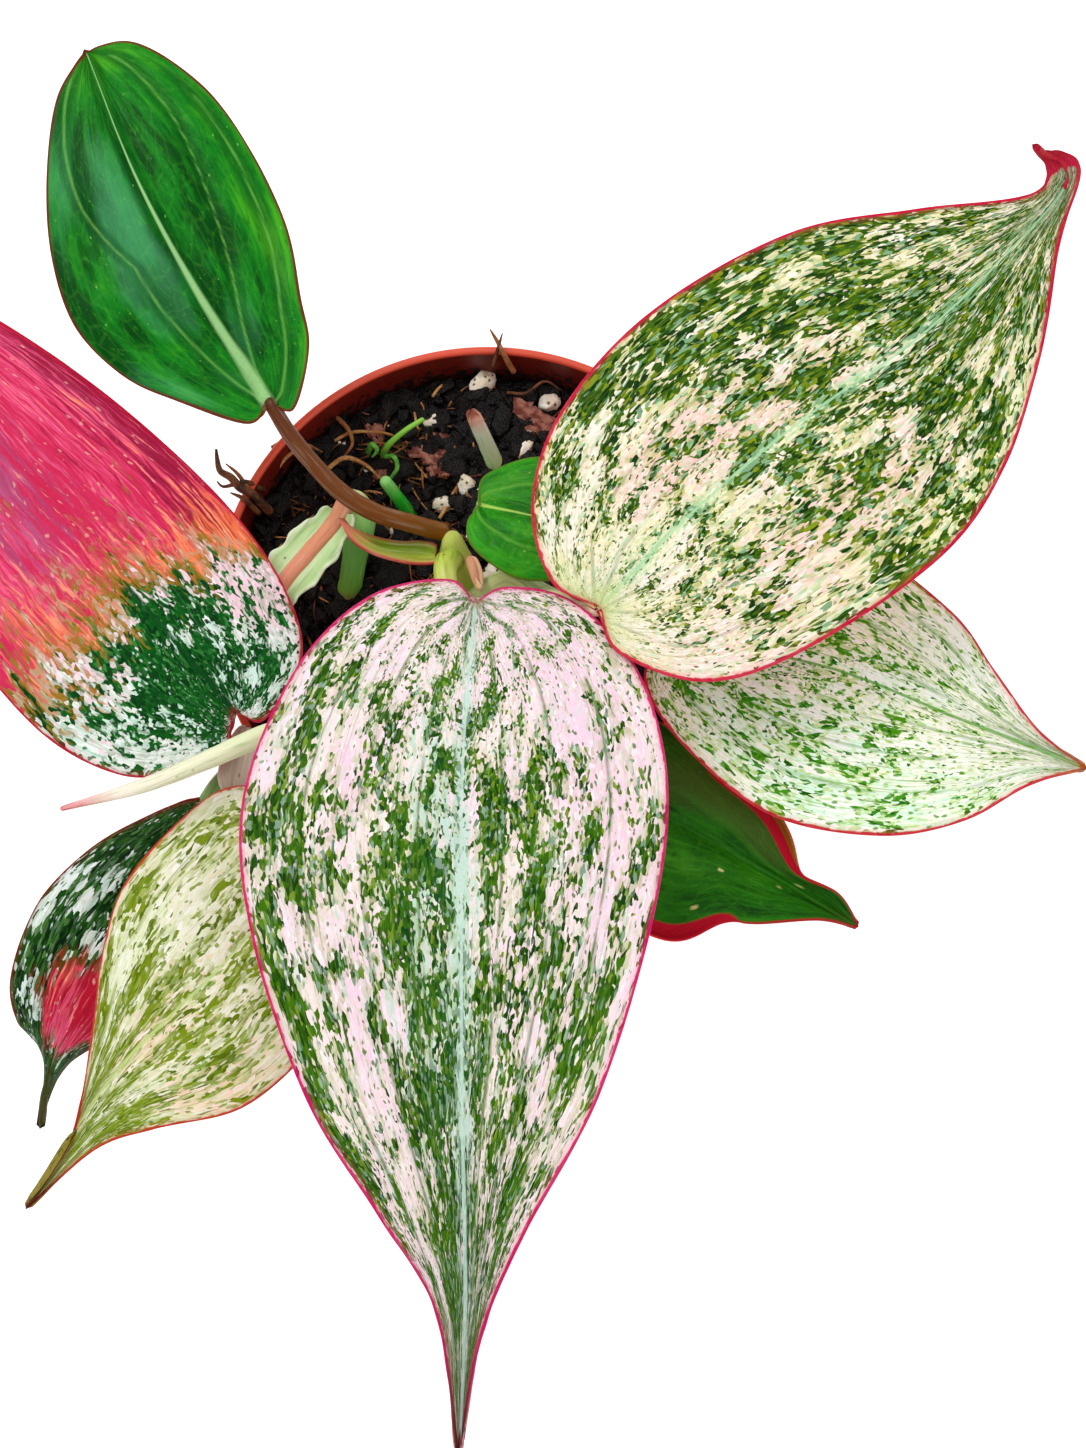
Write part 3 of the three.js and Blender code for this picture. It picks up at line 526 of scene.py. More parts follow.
def add_blade(piece, leaf, rows, columns, seed):
    """Adds a leaf blade with its veins pressed in and all that its material reads."""
    shares, sides = np.linspace(0, 1, rows + 1), np.linspace(-1, 1, 2 * columns + 1)
    share, side = np.meshgrid(shares, sides, indexing="ij")
    points, out = blade_points(leaf, share, side)
    mid = points[:, columns]
    length = np.linalg.norm(np.diff(mid, axis=0), axis=1).sum()
    edge = nearest(points, np.concatenate([points[:, 0], points[::-1, -1]]))
    rib = nearest(points, mid)
    vein = np.full(share.shape, FAR)
    for line in leaf.get("veins", VEINS):
        (start, _), (end, _) = line[0], line[-1]
        fade = 0.6 * np.clip((share - end) * 25, 0, FAR) + 0.6 * np.clip((start - share) * 25, 0, FAR)
        vein = np.minimum(vein, np.abs(side - np.interp(share, *zip(*line))) * out + fade)
    curl = np.zeros(share.shape)
    for roll in leaf.get("rolls", []):
        over = np.clip((np.abs(side) - roll["from"]) / (1 - roll["from"]), 0, 1)
        curl += over * rolled(roll, share, side)
    press = leaf.get("press", 0.22)
    lift = -1.6 * press * np.exp(-((rib / 1.2) ** 2)) * np.clip(share * 8, 0, 1)
    lift -= press * np.exp(-((vein / leaf.get("trough", 0.9)) ** 2)) * np.clip(edge / 4, 0, 1)
    flow = np.stack([side * leaf["half_width"], share * length, np.full(share.shape, seed)], -1)
    swell = leaf.get("swell", 0.4) * rough(flow * (1.6, 1, 9), 11.0) * np.clip(edge / 5, 0, 1)
    lift += swell + leaf.get("pucker", 0.07) * rough(flow * (1.8, 1, 7), 3.2)
    lift[0] = lift[-1] = 0
    points = points + upward(points, True)[0] * lift[..., None]
    points[0], points[-1] = mid[0], mid[-1]
    sheet(
        piece, points, BLADE_THICK, pinched=True, flow=flow, edge=edge, rib=rib, vein=vein, run=share,
        across=(side + 1) / 2, curl=curl, zone=blobs(share, side, leaf.get("marks", [])),
        stain=blobs(share, side, leaf.get("stains", []))[..., 0],
    )


def add_tube(piece, path, radii, seed, material=0, ends=None):
    """Adds a round stalk along a smooth curve, with domed ends and a slightly uneven skin."""
    length = curve(path, [0, 1])[2]
    shares = np.linspace(0, 1, max(int(length / TUBE_STEP), 8) + 1)
    thick = max(radii[0], radii[-1]) / length
    fine = thick * (1 - np.cos(np.linspace(0, math.pi / 2, 7)))
    shares = np.unique(np.concatenate([shares[(shares > thick) & (shares < 1 - thick)], fine, 1 - fine]))
    centres, tangents, _ = curve(path, shares)
    normal = np.cross(tangents[0], [0.3, 0.9, 0.1])
    frames = []
    for tangent in tangents:
        normal = normal - tangent * np.dot(normal, tangent)
        normal = normal / np.linalg.norm(normal)
        frames.append((normal, np.cross(tangent, normal)))
    frames = np.array(frames)
    turn = full_turn(TUBE_SIDES)
    radius = along([[r] for r in radii], shares)[..., 0]
    reach = np.minimum(shares, 1 - shares) * length / np.maximum(radius, 0.05)
    radius = radius * np.sqrt(np.clip(1 - (1 - np.clip(reach, 0.004, 1)) ** 2, 0, 1))
    ring = hoops(turn, frames[:, 0], frames[:, 1])
    points = centres[:, None] + ring * radius[:, None, None]
    bumps = rough(points, 2.6, seed) + 0.4 * rough(points, 0.9, seed)
    points += ring * (TUBE_LUMPS * bumps * radius[:, None])[..., None]
    if ends is not None:
        points = ends(points, shares)
    tips = np.stack([points[0].mean(axis=0), points[-1].mean(axis=0)])
    flow = np.zeros(points.shape)
    flow[..., 0], flow[..., 1], flow[..., 2] = turn * radius.mean(), (shares * length)[:, None], seed
    piece.add(
        np.concatenate([points.reshape(-1, 3), tips]), tube_faces(len(shares), TUBE_SIDES), material,
        flow=np.concatenate([flow.reshape(-1, 3), [[0, 0, seed], [0, length, seed]]]),
        run=np.concatenate([np.repeat(shares, TUBE_SIDES), [0, 1]]),
    )


def colour(r, g, b):
    """A colour picked by its 0 to 255 screen values, for a shader."""
    parts = [v / 255 for v in (r, g, b)]
    return tuple(v / 12.92 if v <= 0.04045 else ((v + 0.055) / 1.055) ** 2.4 for v in parts) + (1.0,)


class Shade:
    """A material and short ways to add its nodes.

    Paints are sockets or screen colours. The numbers in a step are where its passage begins and ends, on
    a noise from 0 to 1, a share of the length or a distance in millimetres, and then what it gives there.
    """

    def __init__(self, name):
        self.material = bpy.data.materials.new(name)
        self.material.use_nodes = True
        self.tree = self.material.node_tree
        self.tree.nodes.clear()
        self.surface = self.tree.nodes.new("ShaderNodeBsdfPrincipled")
        end = self.tree.nodes.new("ShaderNodeOutputMaterial")
        self.tree.links.new(self.surface.outputs["BSDF"], end.inputs["Surface"])

    def set(self, socket, value):
        if isinstance(value, bpy.types.NodeSocket):
            self.tree.links.new(value, socket)
        else:
            socket.default_value = value

    def node(self, kind, values=(), **settings):
        node = self.tree.nodes.new("ShaderNode" + kind)
        for key, value in settings.items():
            setattr(node, key, value)
        for key, value in dict(values).items():
            self.set(node.inputs[key], value)
        return node

    def number(self, name):
        return self.node("Attribute", attribute_name=name).outputs["Fac"]

    def vector(self, name):
        return self.node("Attribute", attribute_name=name).outputs["Vector"]

    def parts(self, vector):
        return tuple(self.node("SeparateXYZ", {0: vector}).outputs)

    def maths(self, operation, a, b=0.0):
        return self.node("Math", {0: a, 1: b}, operation=operation).outputs[0]

    def times(self, a, b):
        return self.maths("MULTIPLY", a, b)

    def off(self, x):
        """How far a number is from one half."""
        return self.maths("SUBTRACT", x, 0.5)

    def sum(self, first, *rest):
        """The first number and weighted others: (number, weight)."""
        for value, weight in rest:
            first = self.maths("ADD", first, self.times(value, weight))
        return first

    def vectors(self, operation, a, b):
        return self.node("VectorMath", {0: a, 1: b}, operation=operation).outputs[0]

    def scaled(self, vector, x, y, z=1.0):
        return self.vectors("MULTIPLY", vector, (x, y, z))

    def moved(self, vector, by, amount):
        """The vector shifted by a colour's distance from mid grey."""
        shift = self.vectors("SUBTRACT", by, (0.5, 0.5, 0.5))
        return self.vectors("ADD", vector, self.vectors("MULTIPLY", shift, amount))

    def noise(self, at, stretch, detail=2.0, roughness=0.5):
        """A noise node on coordinates multiplied by stretch."""
        at = self.scaled(at, *stretch)
        return self.node("TexNoise", {"Vector": at, "Scale": 1.0, "Detail": detail, "Roughness": roughness})

    def grain(self, at, stretch, detail=2.0, roughness=0.5):
        return self.noise(at, stretch, detail, roughness).outputs[0]

    def cells(self, at, stretch, feature="F1"):
        return self.node("TexVoronoi", {"Vector": self.scaled(at, *stretch), "Scale": 1.0}, feature=feature)

    def specks(self, at, stretch, inner, outer):
        """Small round dots of which a chance picks some: their shape and the chances."""
        dots = self.cells(at, stretch)
        shape = self.step(dots.outputs["Distance"], inner, outer, 1.0, 0.0)
        return shape, self.parts(dots.outputs["Color"])

    def step(self, x, low, high, start=0.0, end=1.0):
        """start below low, end above high, and a smooth passage between."""
        values = {"Value": x, "From Min": low, "From Max": high, "To Min": start, "To Max": end}
        return self.node("MapRange", values, interpolation_type="SMOOTHSTEP").outputs[0]

    def mix(self, share, a, b):
        node = self.node("Mix", data_type="RGBA")
        for key, value in ((0, share), (6, a), (7, b)):
            self.set(node.inputs[key], colour(*value) if isinstance(value, tuple) else value)
        return node.outputs[2]

    def over(self, base, paint, *steps):
        """base with paint laid over it as a step says."""
        return self.mix(self.step(*steps), base, paint)

    def ramp(self, x, stops):
        node = self.node("ValToRGB", {0: x})
        elements = node.color_ramp.elements
        while len(elements) < len(stops):
            elements.new(0.5)
        for element, (place, paint) in zip(elements, stops):
            element.position, element.color = place, colour(*paint)
        return node.outputs[0]

    def bump(self, height, distance, strength):
        values = {"Height": height, "Distance": distance * MM, "Strength": strength}
        return self.node("Bump", values).outputs[0]

    def finish(self, **sockets):
        for key, value in sockets.items():
            self.set(self.surface.inputs[key.replace("_", " ")], value)
        return self.material

    def skin(self, paint, fine, gloss, height, depth, strength, shine):
        """Ends a natural skin: its paint, a pair of roughness values, a bump and its shine."""
        return self.finish(
            Base_Color=paint, Roughness=self.step(fine, 0.3, 0.7, *gloss),
            Normal=self.bump(height, depth, strength), Specular_IOR_Level=shine,
        )


def variegated(name, look):
    """A leaf painted in a mosaic of small cells, green on pale, that run along the veins."""
    shade = Shade(name)
    flow, (bias, tint, veil) = shade.vector("flow"), shade.parts(shade.vector("zone"))
    run, rib, vein = (shade.number(key) for key in ("run", "rib", "vein"))
    wide_cell, long_cell = look["cell"]
    loose = shade.moved(flow, shade.noise(flow, (0.45, 0.2), 3.0).outputs[1], (2.2, 3.2, 0.0))
    cells = shade.cells(loose, (1 / wide_cell, 1 / long_cell))
    at, chance = cells.outputs["Position"], shade.parts(cells.outputs["Color"])

    def patches(size, detail=1.0):
        return shade.off(shade.grain(at, (wide_cell / size[0], long_cell / size[1]), detail))

    # Where it is green: above zero. The cell weights are for blotches, flecks, chance and ragged edges
    ragged = shade.grain(flow, (1.7, 0.7), 3.0)
    of_blotch, of_fleck, of_chance, of_ragged = look["weights"]
    total = shade.sum(
        bias, (patches(look["blotch"], 2.0), of_blotch), (patches(look["fleck"]), of_fleck),
        (shade.off(chance[0]), of_chance), (shade.off(ragged), of_ragged),
    )
    green = shade.step(total, -look["soft"], look["soft"])
    small, pick = shade.specks(loose, (1 / 0.75, 1 / 1.1), 0.2, 0.34)
    dark_dot = shade.times(small, shade.step(pick[0], look["dots"], look["dots"] + 0.02))
    pale_dot = shade.times(small, shade.step(pick[1], 0.8, 0.84))

    # The pale colours, and the mint that lies along the midrib and over some of the blade
    broad = shade.grain(flow, (0.16, 0.07), 2.0)
    one, two, three = look["pale"]
    pale = shade.over(one, two, broad, 0.4, 0.6)
    pale = shade.over(pale, three, shade.sum(tint, (chance[1], 0.45)), 0.3, 0.7)
    pale = shade.over(pale, (255, 250, 248), chance[2], 0.7, 1.0, 0.0, 0.6)
    strand = shade.off(shade.grain(loose, (1.3, 0.16), 3.0, 0.6))
    ends = shade.times(shade.step(run, 0.04, 0.2, 0.15, 1.0), shade.step(run, 0.7, 1.0, 1.0, 0.0))
    band = shade.times(shade.step(rib, 0.0, look["band"], 0.5, 0.0), ends)
    mint = shade.sum(veil, (band, 0.8), (strand, 1.9), (shade.off(chance[1]), 0.35))
    mint = shade.step(mint, 0.15, 0.65, 0.0, 0.8)
    pale = shade.mix(mint, pale, look["mint"])

    # The green colours, and a soft halo of light green round them
    deep, bright, light = look["green"]
    leafy = shade.over(deep, bright, shade.sum(chance[2], (shade.off(broad), 1.5)), 0.1, 0.9)
    leafy = shade.over(leafy, light, chance[1], 0.72, 0.95, 0.0, 0.6)
    leafy = shade.mix(shade.times(mint, 0.6), leafy, look["blue"])
    wash = shade.sum(total, (shade.off(shade.grain(loose, (0.9, 0.3), 3.0)), 0.5))
    pale = shade.over(pale, light, wash, -0.3, 0.05, 0.0, look["halo"])
    pale = shade.mix(shade.times(dark_dot, 0.85), pale, bright)
    leafy = shade.mix(shade.times(pale_dot, 0.6), leafy, one)
    skin = shade.mix(green, pale, leafy)

    # Threads, side veins and midrib
    thread = shade.maths("ABSOLUTE", shade.off(shade.grain(flow, (1.1, 0.02), 2.0)))
    thread = shade.sum(thread, (shade.step(run, 0.05, 0.35, 1.0, 0.0), -0.012))
    skin = shade.over(skin, look["line"], thread, 0.002, 0.016, look["thread"], 0.0)
    broken = shade.step(shade.grain(flow, (0.5, 0.12, 3.0), 2.0), 0.36, 0.54)
    skin = shade.mix(shade.times(shade.step(vein, 0.08, 0.5, look["vein"], 0.0), broken), skin, bright)
    lace = shade.sum(band, (strand, 1.6), (shade.off(chance[0]), 1.1))
    skin = shade.over(skin, look["midrib"], lace, 0.34, 0.5, 0.0, look["lace"])
    skin = shade.over(skin, look["midrib"], rib, look["rib"] * 0.4, look["rib"], 0.8, 0.0)

    if "stain" in look:
        first, second, third, dark, turning = look["stain"]
        streak = shade.off(shade.grain(loose, (0.8, 0.05), 4.0, 0.65))
        thin = shade.off(shade.grain(loose, (2.0, 0.16, 2.0), 3.0, 0.6))
        amount = shade.sum(
            shade.number("stain"), (patches((4.0, 9.0), 2.0), 0.8), (streak, 0.8), (thin, 0.4),
            (shade.off(chance[0]), 0.12),
        )
        red = shade.over(first, (242, 92, 138), shade.sum(shade.off(broad), (thin, 1.6)), -0.1, 0.35)
        warm = shade.sum(
            tint, (streak, 1.5), (thin, 1.6), (shade.off(broad), 1.0), (shade.off(chance[2]), 0.2),
        )
        red = shade.over(red, second, warm, 0.2, 0.75, 0.0, 0.85)
        red = shade.over(red, third, shade.sum(veil, (streak, 1.6), (thin, 0.9)), 0.2, 0.8, 0.0, 0.75)
        red = shade.over(red, dark, shade.sum(thin, (streak, 1.2), (veil, 0.5)), -0.32, -0.06, 0.7, 0.0)
        red = shade.over(red, (255, 160, 120), shade.sum(thin, (tint, 0.15)), 0.12, 0.2, 0.0, 0.65)
        red = shade.mix(shade.times(pale_dot, 0.4), red, (255, 206, 180))
        skin = shade.over(skin, turning, amount, 0.34, 0.46, 0.0, 0.75)
        skin = shade.over(skin, red, amount, 0.44, 0.68)

    # The notch and the coloured margin, which is left open beside the petiole
    blush = (shade.step(run, 0.88, 0.94), -look.get("blush", 0.0))
    rim = shade.sum(shade.number("edge"), (shade.off(ragged), 0.7), blush)
    margin = shade.over(look["margin"], look["tip"], run, 0.9, 0.985)
    glow = shade.sum(run, (shade.off(ragged), -0.1), (strand, 0.12))
    skin = shade.over(skin, look["notch"], glow, 0.0, look.get("glow", 0.06), 0.85, 0.0)
    open_rim = shade.step(run, 0.012, 0.05, 0.25, 1.0)
    for near, far, strength in ((1, look["rim"] + 1.0, 0.25), (0.7, look["rim"] * 1.15, 0.94)):
        share = shade.step(rim, look["rim"] * near, far, strength, 0.0)
        skin = shade.mix(shade.times(share, open_rim), skin, margin)

    below = shade.times(green, shade.step(run, 0.85, 0.95, 0.45, 0.2))
    skin = shade.over(skin, shade.mix(below, look["under"], bright), shade.number("under"), 0.3, 0.7)
    fine = shade.grain(flow, (2.4, 1.5), 3.0)
    crease = shade.step(cells.outputs["Distance"], 0.1, 0.6)
    height = shade.sum(fine, (green, 0.3), (crease, -0.5))
    gloss = (look["gloss"] - 0.06, look["gloss"] + 0.1)
    return shade.skin(skin, fine, gloss, height, 0.13, 0.8, LEAF_SHINE)


def plain(name, look):
    """A green leaf with a pale midrib, veins in troughs of painted shade, a painted sheen and highlights."""
    shade = Shade(name)
    flow, (bias, tint, veil) = shade.vector("flow"), shade.parts(shade.vector("zone"))
    run, rib, vein = (shade.number(key) for key in ("run", "rib", "vein"))
    deep, mid, bright = look["green"]
    streak = shade.grain(flow, (1.2, 0.12), 3.0)
    ragged = shade.off(streak)
    total = shade.sum(shade.grain(flow, (0.22, 0.1), 3.0), (bias, 1.0), (ragged, 0.5))
    skin = shade.over(deep, mid, total, 0.35, 0.62)
    skin = shade.over(skin, bright, total, 0.6, 0.95)
    mottle = shade.grain(flow, (1.5, 0.7), 4.0, 0.7)
    skin = shade.over(skin, deep, mottle, 0.3, 0.47, 0.55, 0.0)
    skin = shade.over(skin, bright, mottle, 0.55, 0.72, 0.0, 0.4)
    net = shade.cells(flow, (0.55, 0.3), "DISTANCE_TO_EDGE").outputs["Distance"]
    skin = shade.over(skin, bright, net, 0.0, 0.12, 0.12, 0.0)
    # Painted sheen: lighter patches of the sheen colour where broad noise and the zone's mint amount say
    sheen = shade.maths("ADD", shade.grain(flow, (0.12, 0.05), 2.0), veil)
    skin = shade.over(skin, look["sheen"], sheen, 0.5, 0.85, 0.0, 0.5)
    # Painted shade: deep green in the troughs beside the veins and the midrib
    skin = shade.over(skin, deep, shade.maths("MINIMUM", vein, rib), 0.9, 2.0, look["trough"], 0.0)
    skin = shade.over(skin, look["line"], vein, 0.05, 0.42, look["vein"], 0.0)
    thick = shade.times(shade.maths("POWER", shade.maths("SUBTRACT", 1.05, run), 1.4), look["rib"])
    from_rib = shade.sum(shade.maths("DIVIDE", rib, thick), (ragged, 0.5))
    skin = shade.over(skin, look["midrib"], from_rib, 0.3, 1.2, 0.85, 0.0)
    # Painted highlights: spots of the mark colour where the zone's tint says
    skin = shade.over(skin, look["mark"], tint, 0.3, 0.7)
    small, pick = shade.specks(flow, (0.7, 0.7), 0.08, 0.14)
    speck = shade.times(small, shade.step(pick[0], 0.8, 0.82))
    skin = shade.mix(shade.times(speck, 0.6), skin, look["line"])
    rim = shade.sum(shade.number("edge"), (ragged, 0.5))
    skin = shade.over(skin, look["margin"], rim, look["rim"] * 0.6, look["rim"] * 1.2, 0.9, 0.0)

    # The underside, also where a margin curls over: red, and brown on the outer part of one curl
    curl, outer = shade.number("curl"), shade.step(shade.number("across"), 0.5, 0.51)
    skin = shade.over(skin, look["under"][0], curl, 0.06, 0.16)
    brown = shade.step(shade.sum(curl, (ragged, 0.3)), 0.5, 0.62)
    skin = shade.mix(shade.times(brown, outer), skin, (150, 92, 30))
    under = shade.over(*look["under"], streak, 0.35, 0.65)
    skin = shade.over(skin, under, shade.number("under"), 0.3, 0.7)
    fine = shade.grain(flow, (2.2, 1.4), 2.0)
    height = shade.maths("SUBTRACT", fine, shade.step(net, 0.0, 0.12, 0.5, 0.0))
    gloss = (look["gloss"] - 0.06, look["gloss"] + 0.1)
    return shade.skin(skin, fine, gloss, height, 0.14, 0.6, LEAF_SHINE)


def stalky(name, stops, streak=0.25, dark=(70, 45, 15), by="run", tip=None):
    """A stalk's skin: a colour for each part of its length or width, fine streaks and a few specks."""
    shade = Shade(name)
    flow = shade.vector("flow")
    drift = shade.off(shade.grain(flow, (0.3, 0.2), 3.0))
    skin = shade.ramp(shade.sum(shade.number(by), (drift, 0.12)), stops)
    if tip:
        skin = shade.over(skin, tip, shade.number("run"), 0.7, 1.0)
    lines = shade.grain(flow, (1.6, 0.12), 3.0)
    skin = shade.over(skin, dark, lines, 0.5, 0.75, 0.0, streak * 2)
    skin = shade.over(skin, (255, 248, 225), lines, 0.25, 0.48, streak, 0.0)
    small, pick = shade.specks(flow, (0.9, 0.6), 0.12, 0.22)
    speck = shade.times(small, shade.step(pick[0], 0.9, 0.92))
    skin = shade.mix(shade.times(speck, 0.6), skin, dark)
    fine = shade.grain(flow, (2.5, 0.9), 3.0)
    return shade.skin(skin, fine, (0.34, 0.54), shade.maths("ADD", fine, lines), 0.15, 0.7, STALK_SHINE)


def earthy(name, first, second, third, size, gloss=0.5, pits=0.0, depth=0.25, shine=0.3):
    """A crumbly stuff with three colours in patches of a size, and pits where asked."""
    shade = Shade(name)
    flow = shade.vector("flow")
    fine = shade.grain(flow, (5 / size,) * 3, 3.0, 0.65)
    skin = shade.over(first, second, shade.grain(flow, (1 / size,) * 3, 3.0), 0.38, 0.6)
    skin = shade.over(skin, third, fine, 0.52, 0.75)
    height = fine
    if pits:
        holes = shade.cells(flow, (0.8, 0.8, 0.8)).outputs["Distance"]
        hole = shade.step(shade.sum(holes, (shade.off(fine), 0.3)), 0.14, 0.3, pits, 0.0)
        skin = shade.mix(hole, skin, (60, 44, 30))
        height = shade.maths("SUBTRACT", fine, hole)
    return shade.skin(skin, fine, (gloss - 0.15, gloss + 0.15), height, depth, 0.9, shine)


# How each leaf is painted; colours in screen values, sizes in millimetres
LOOKS = {
    "leaf_front": {
        "cell": (0.42, 0.85), "blotch": (3.2, 8.5), "fleck": (1.5, 3.2), "weights": (2.2, 0.85, 0.12, 0.3),
        "soft": 0.03, "dots": 0.5, "pale": [(251, 220, 232), (252, 228, 226), (246, 208, 226)],
        "mint": (182, 222, 204), "green": [(16, 60, 0), (60, 110, 0), (146, 174, 50)], "blue": (10, 82, 40),
        "halo": 0.5, "thread": 0.4, "line": (120, 152, 70), "vein": 0.8, "rib": 0.3,
        "midrib": (198, 224, 210), "band": 2, "lace": 0.36, "notch": (176, 206, 110), "glow": 0.07,
        "margin": (210, 6, 100), "tip": (110, 34, 18), "rim": 0.45, "under": (214, 150, 170), "gloss": 0.45,
    },
    "leaf_upper_right": {
        "cell": (0.4, 0.64), "blotch": (3.4, 6), "fleck": (1.2, 2.1), "weights": (2.3, 1.2, 0.2, 0.3),
        "soft": 0.02, "dots": 0.5, "pale": [(255, 240, 226), (248, 236, 196), (255, 210, 202)],
        "mint": (206, 234, 180), "green": [(8, 50, 0), (60, 100, 0), (158, 172, 30)], "blue": (4, 84, 0),
        "halo": 0.65, "thread": 0.4, "line": (120, 160, 50), "vein": 0.5, "rib": 0.3,
        "midrib": (170, 218, 170), "band": 2.4, "lace": 0.5, "blush": 2.4, "notch": (204, 222, 140),
        "glow": 0.2, "margin": (206, 6, 62), "tip": (190, 24, 50), "rim": 0.5, "under": (206, 24, 60),
        "gloss": 0.42,
    },
    "leaf_mint_right": {
        "cell": (0.34, 0.54), "blotch": (2.8, 5), "fleck": (0.9, 1.6), "weights": (1.3, 1.2, 0.3, 0.3),
        "soft": 0.03, "dots": 0.4, "pale": [(252, 255, 244), (254, 255, 234), (255, 244, 232)],
        "mint": (214, 255, 224), "green": [(14, 90, 0), (70, 146, 0), (178, 216, 100)],
        "blue": (40, 150, 40), "halo": 0.8, "thread": 0.7, "line": (110, 166, 30), "vein": 0.55, "rib": 0.3,
        "midrib": (90, 160, 40), "band": 0.5, "lace": 0.15, "notch": (210, 230, 140),
        "margin": (206, 10, 50), "tip": (196, 92, 36), "rim": 0.4, "under": (214, 150, 130), "gloss": 0.45,
    },
    "leaf_cream_left": {
        "cell": (0.42, 1.2), "blotch": (3, 12), "fleck": (1, 3.2), "weights": (2.1, 0.8, 0.2, 0.3),
        "soft": 0.06, "dots": 0.5, "pale": [(232, 236, 204), (240, 238, 214), (248, 210, 190)],
        "mint": (206, 238, 196), "green": [(80, 104, 0), (122, 144, 16), (188, 198, 116)],
        "blue": (116, 170, 70), "halo": 0.6, "thread": 0.5, "line": (130, 156, 50), "vein": 0.7,
        "rib": 0.35, "midrib": (200, 216, 140), "band": 0.7, "lace": 0.3, "notch": (190, 210, 130),
        "margin": (196, 44, 30), "tip": (110, 34, 10), "rim": 0.34, "under": (150, 130, 60), "gloss": 0.45,
    },
    "leaf_half_red": {
        "cell": (0.5, 1.2), "blotch": (4.2, 8.5), "fleck": (1.6, 3.4), "weights": (2.6, 0.7, 0.15, 0.3),
        "soft": 0.04, "dots": 0.8, "pale": [(214, 230, 226), (232, 242, 236), (238, 220, 226)],
        "mint": (176, 210, 192), "green": [(0, 30, 4), (18, 70, 6), (80, 130, 50)], "blue": (6, 58, 36),
        "halo": 0.4, "thread": 0.3, "line": (90, 140, 80), "vein": 0.3, "rib": 0.3,
        "midrib": (150, 184, 150), "band": 1, "lace": 0.2, "notch": (60, 110, 40), "margin": (120, 30, 16),
        "tip": (46, 62, 12), "rim": 0.28, "under": (74, 60, 22), "gloss": 0.42,
        "stain": [(186, 16, 46), (226, 84, 84), (84, 10, 18), (70, 6, 10), (120, 50, 10)],
    },
    "leaf_pink_left": {
        "cell": (0.46, 0.9), "blotch": (3.8, 7.5), "fleck": (1.6, 3), "weights": (1.7, 1.1, 0.15, 0.3),
        "soft": 0.03, "dots": 0.66, "pale": [(226, 252, 242), (244, 250, 244), (255, 214, 228)],
        "mint": (190, 238, 214), "green": [(0, 54, 14), (6, 92, 18), (80, 156, 80)], "blue": (8, 100, 48),
        "halo": 0.4, "thread": 0.35, "line": (60, 130, 70), "vein": 0.7, "rib": 0.5, "midrib": (6, 70, 22),
        "band": 0.8, "lace": 0.2, "notch": (30, 92, 14), "margin": (190, 14, 50), "tip": (150, 20, 50),
        "rim": 0.4, "under": (190, 60, 90), "gloss": 0.42,
        "stain": [(208, 40, 84), (246, 124, 70), (140, 80, 124), (120, 10, 44), (170, 124, 36)],
    },
}

# In the plain looks, sheen is the colour of a painted sheen, trough how strongly painted shade darkens the
# troughs beside the veins, and mark the colour of painted highlight spots laid where the tint says
PLAIN = {
    "leaf_green_oval": {
        "green": [(0, 66, 10), (14, 120, 24), (70, 168, 28)], "sheen": (84, 172, 116), "trough": 0.45,
        "vein": 0.45, "line": (120, 190, 84), "rib": 1.5, "midrib": (158, 208, 136),
        "mark": (200, 220, 150), "rim": 0.4, "margin": (110, 30, 20),
        "under": [(120, 60, 50), (90, 110, 60)], "gloss": 0.34,
    },
    "leaf_green_right": {
        "green": [(10, 62, 4), (30, 104, 8), (66, 146, 24)], "sheen": (84, 110, 40), "trough": 0.1,
        "vein": 0.08, "line": (80, 150, 50), "rib": 0.25, "midrib": (46, 112, 20), "mark": (206, 206, 130),
        "rim": 0.3, "margin": (168, 24, 34), "under": [(176, 12, 36), (206, 60, 44)], "gloss": 0.34,
    },
    "leaf_small_round": {
        "green": [(16, 104, 12), (44, 152, 20), (112, 196, 46)], "sheen": (110, 190, 70), "trough": 0.3,
        "vein": 0.25, "line": (150, 212, 80), "rib": 0.35, "midrib": (180, 222, 100), "mark": (110, 70, 30),
        "rim": 0.3, "margin": (90, 120, 30), "under": [(90, 150, 50), (120, 170, 70)], "gloss": 0.32,
    },
}
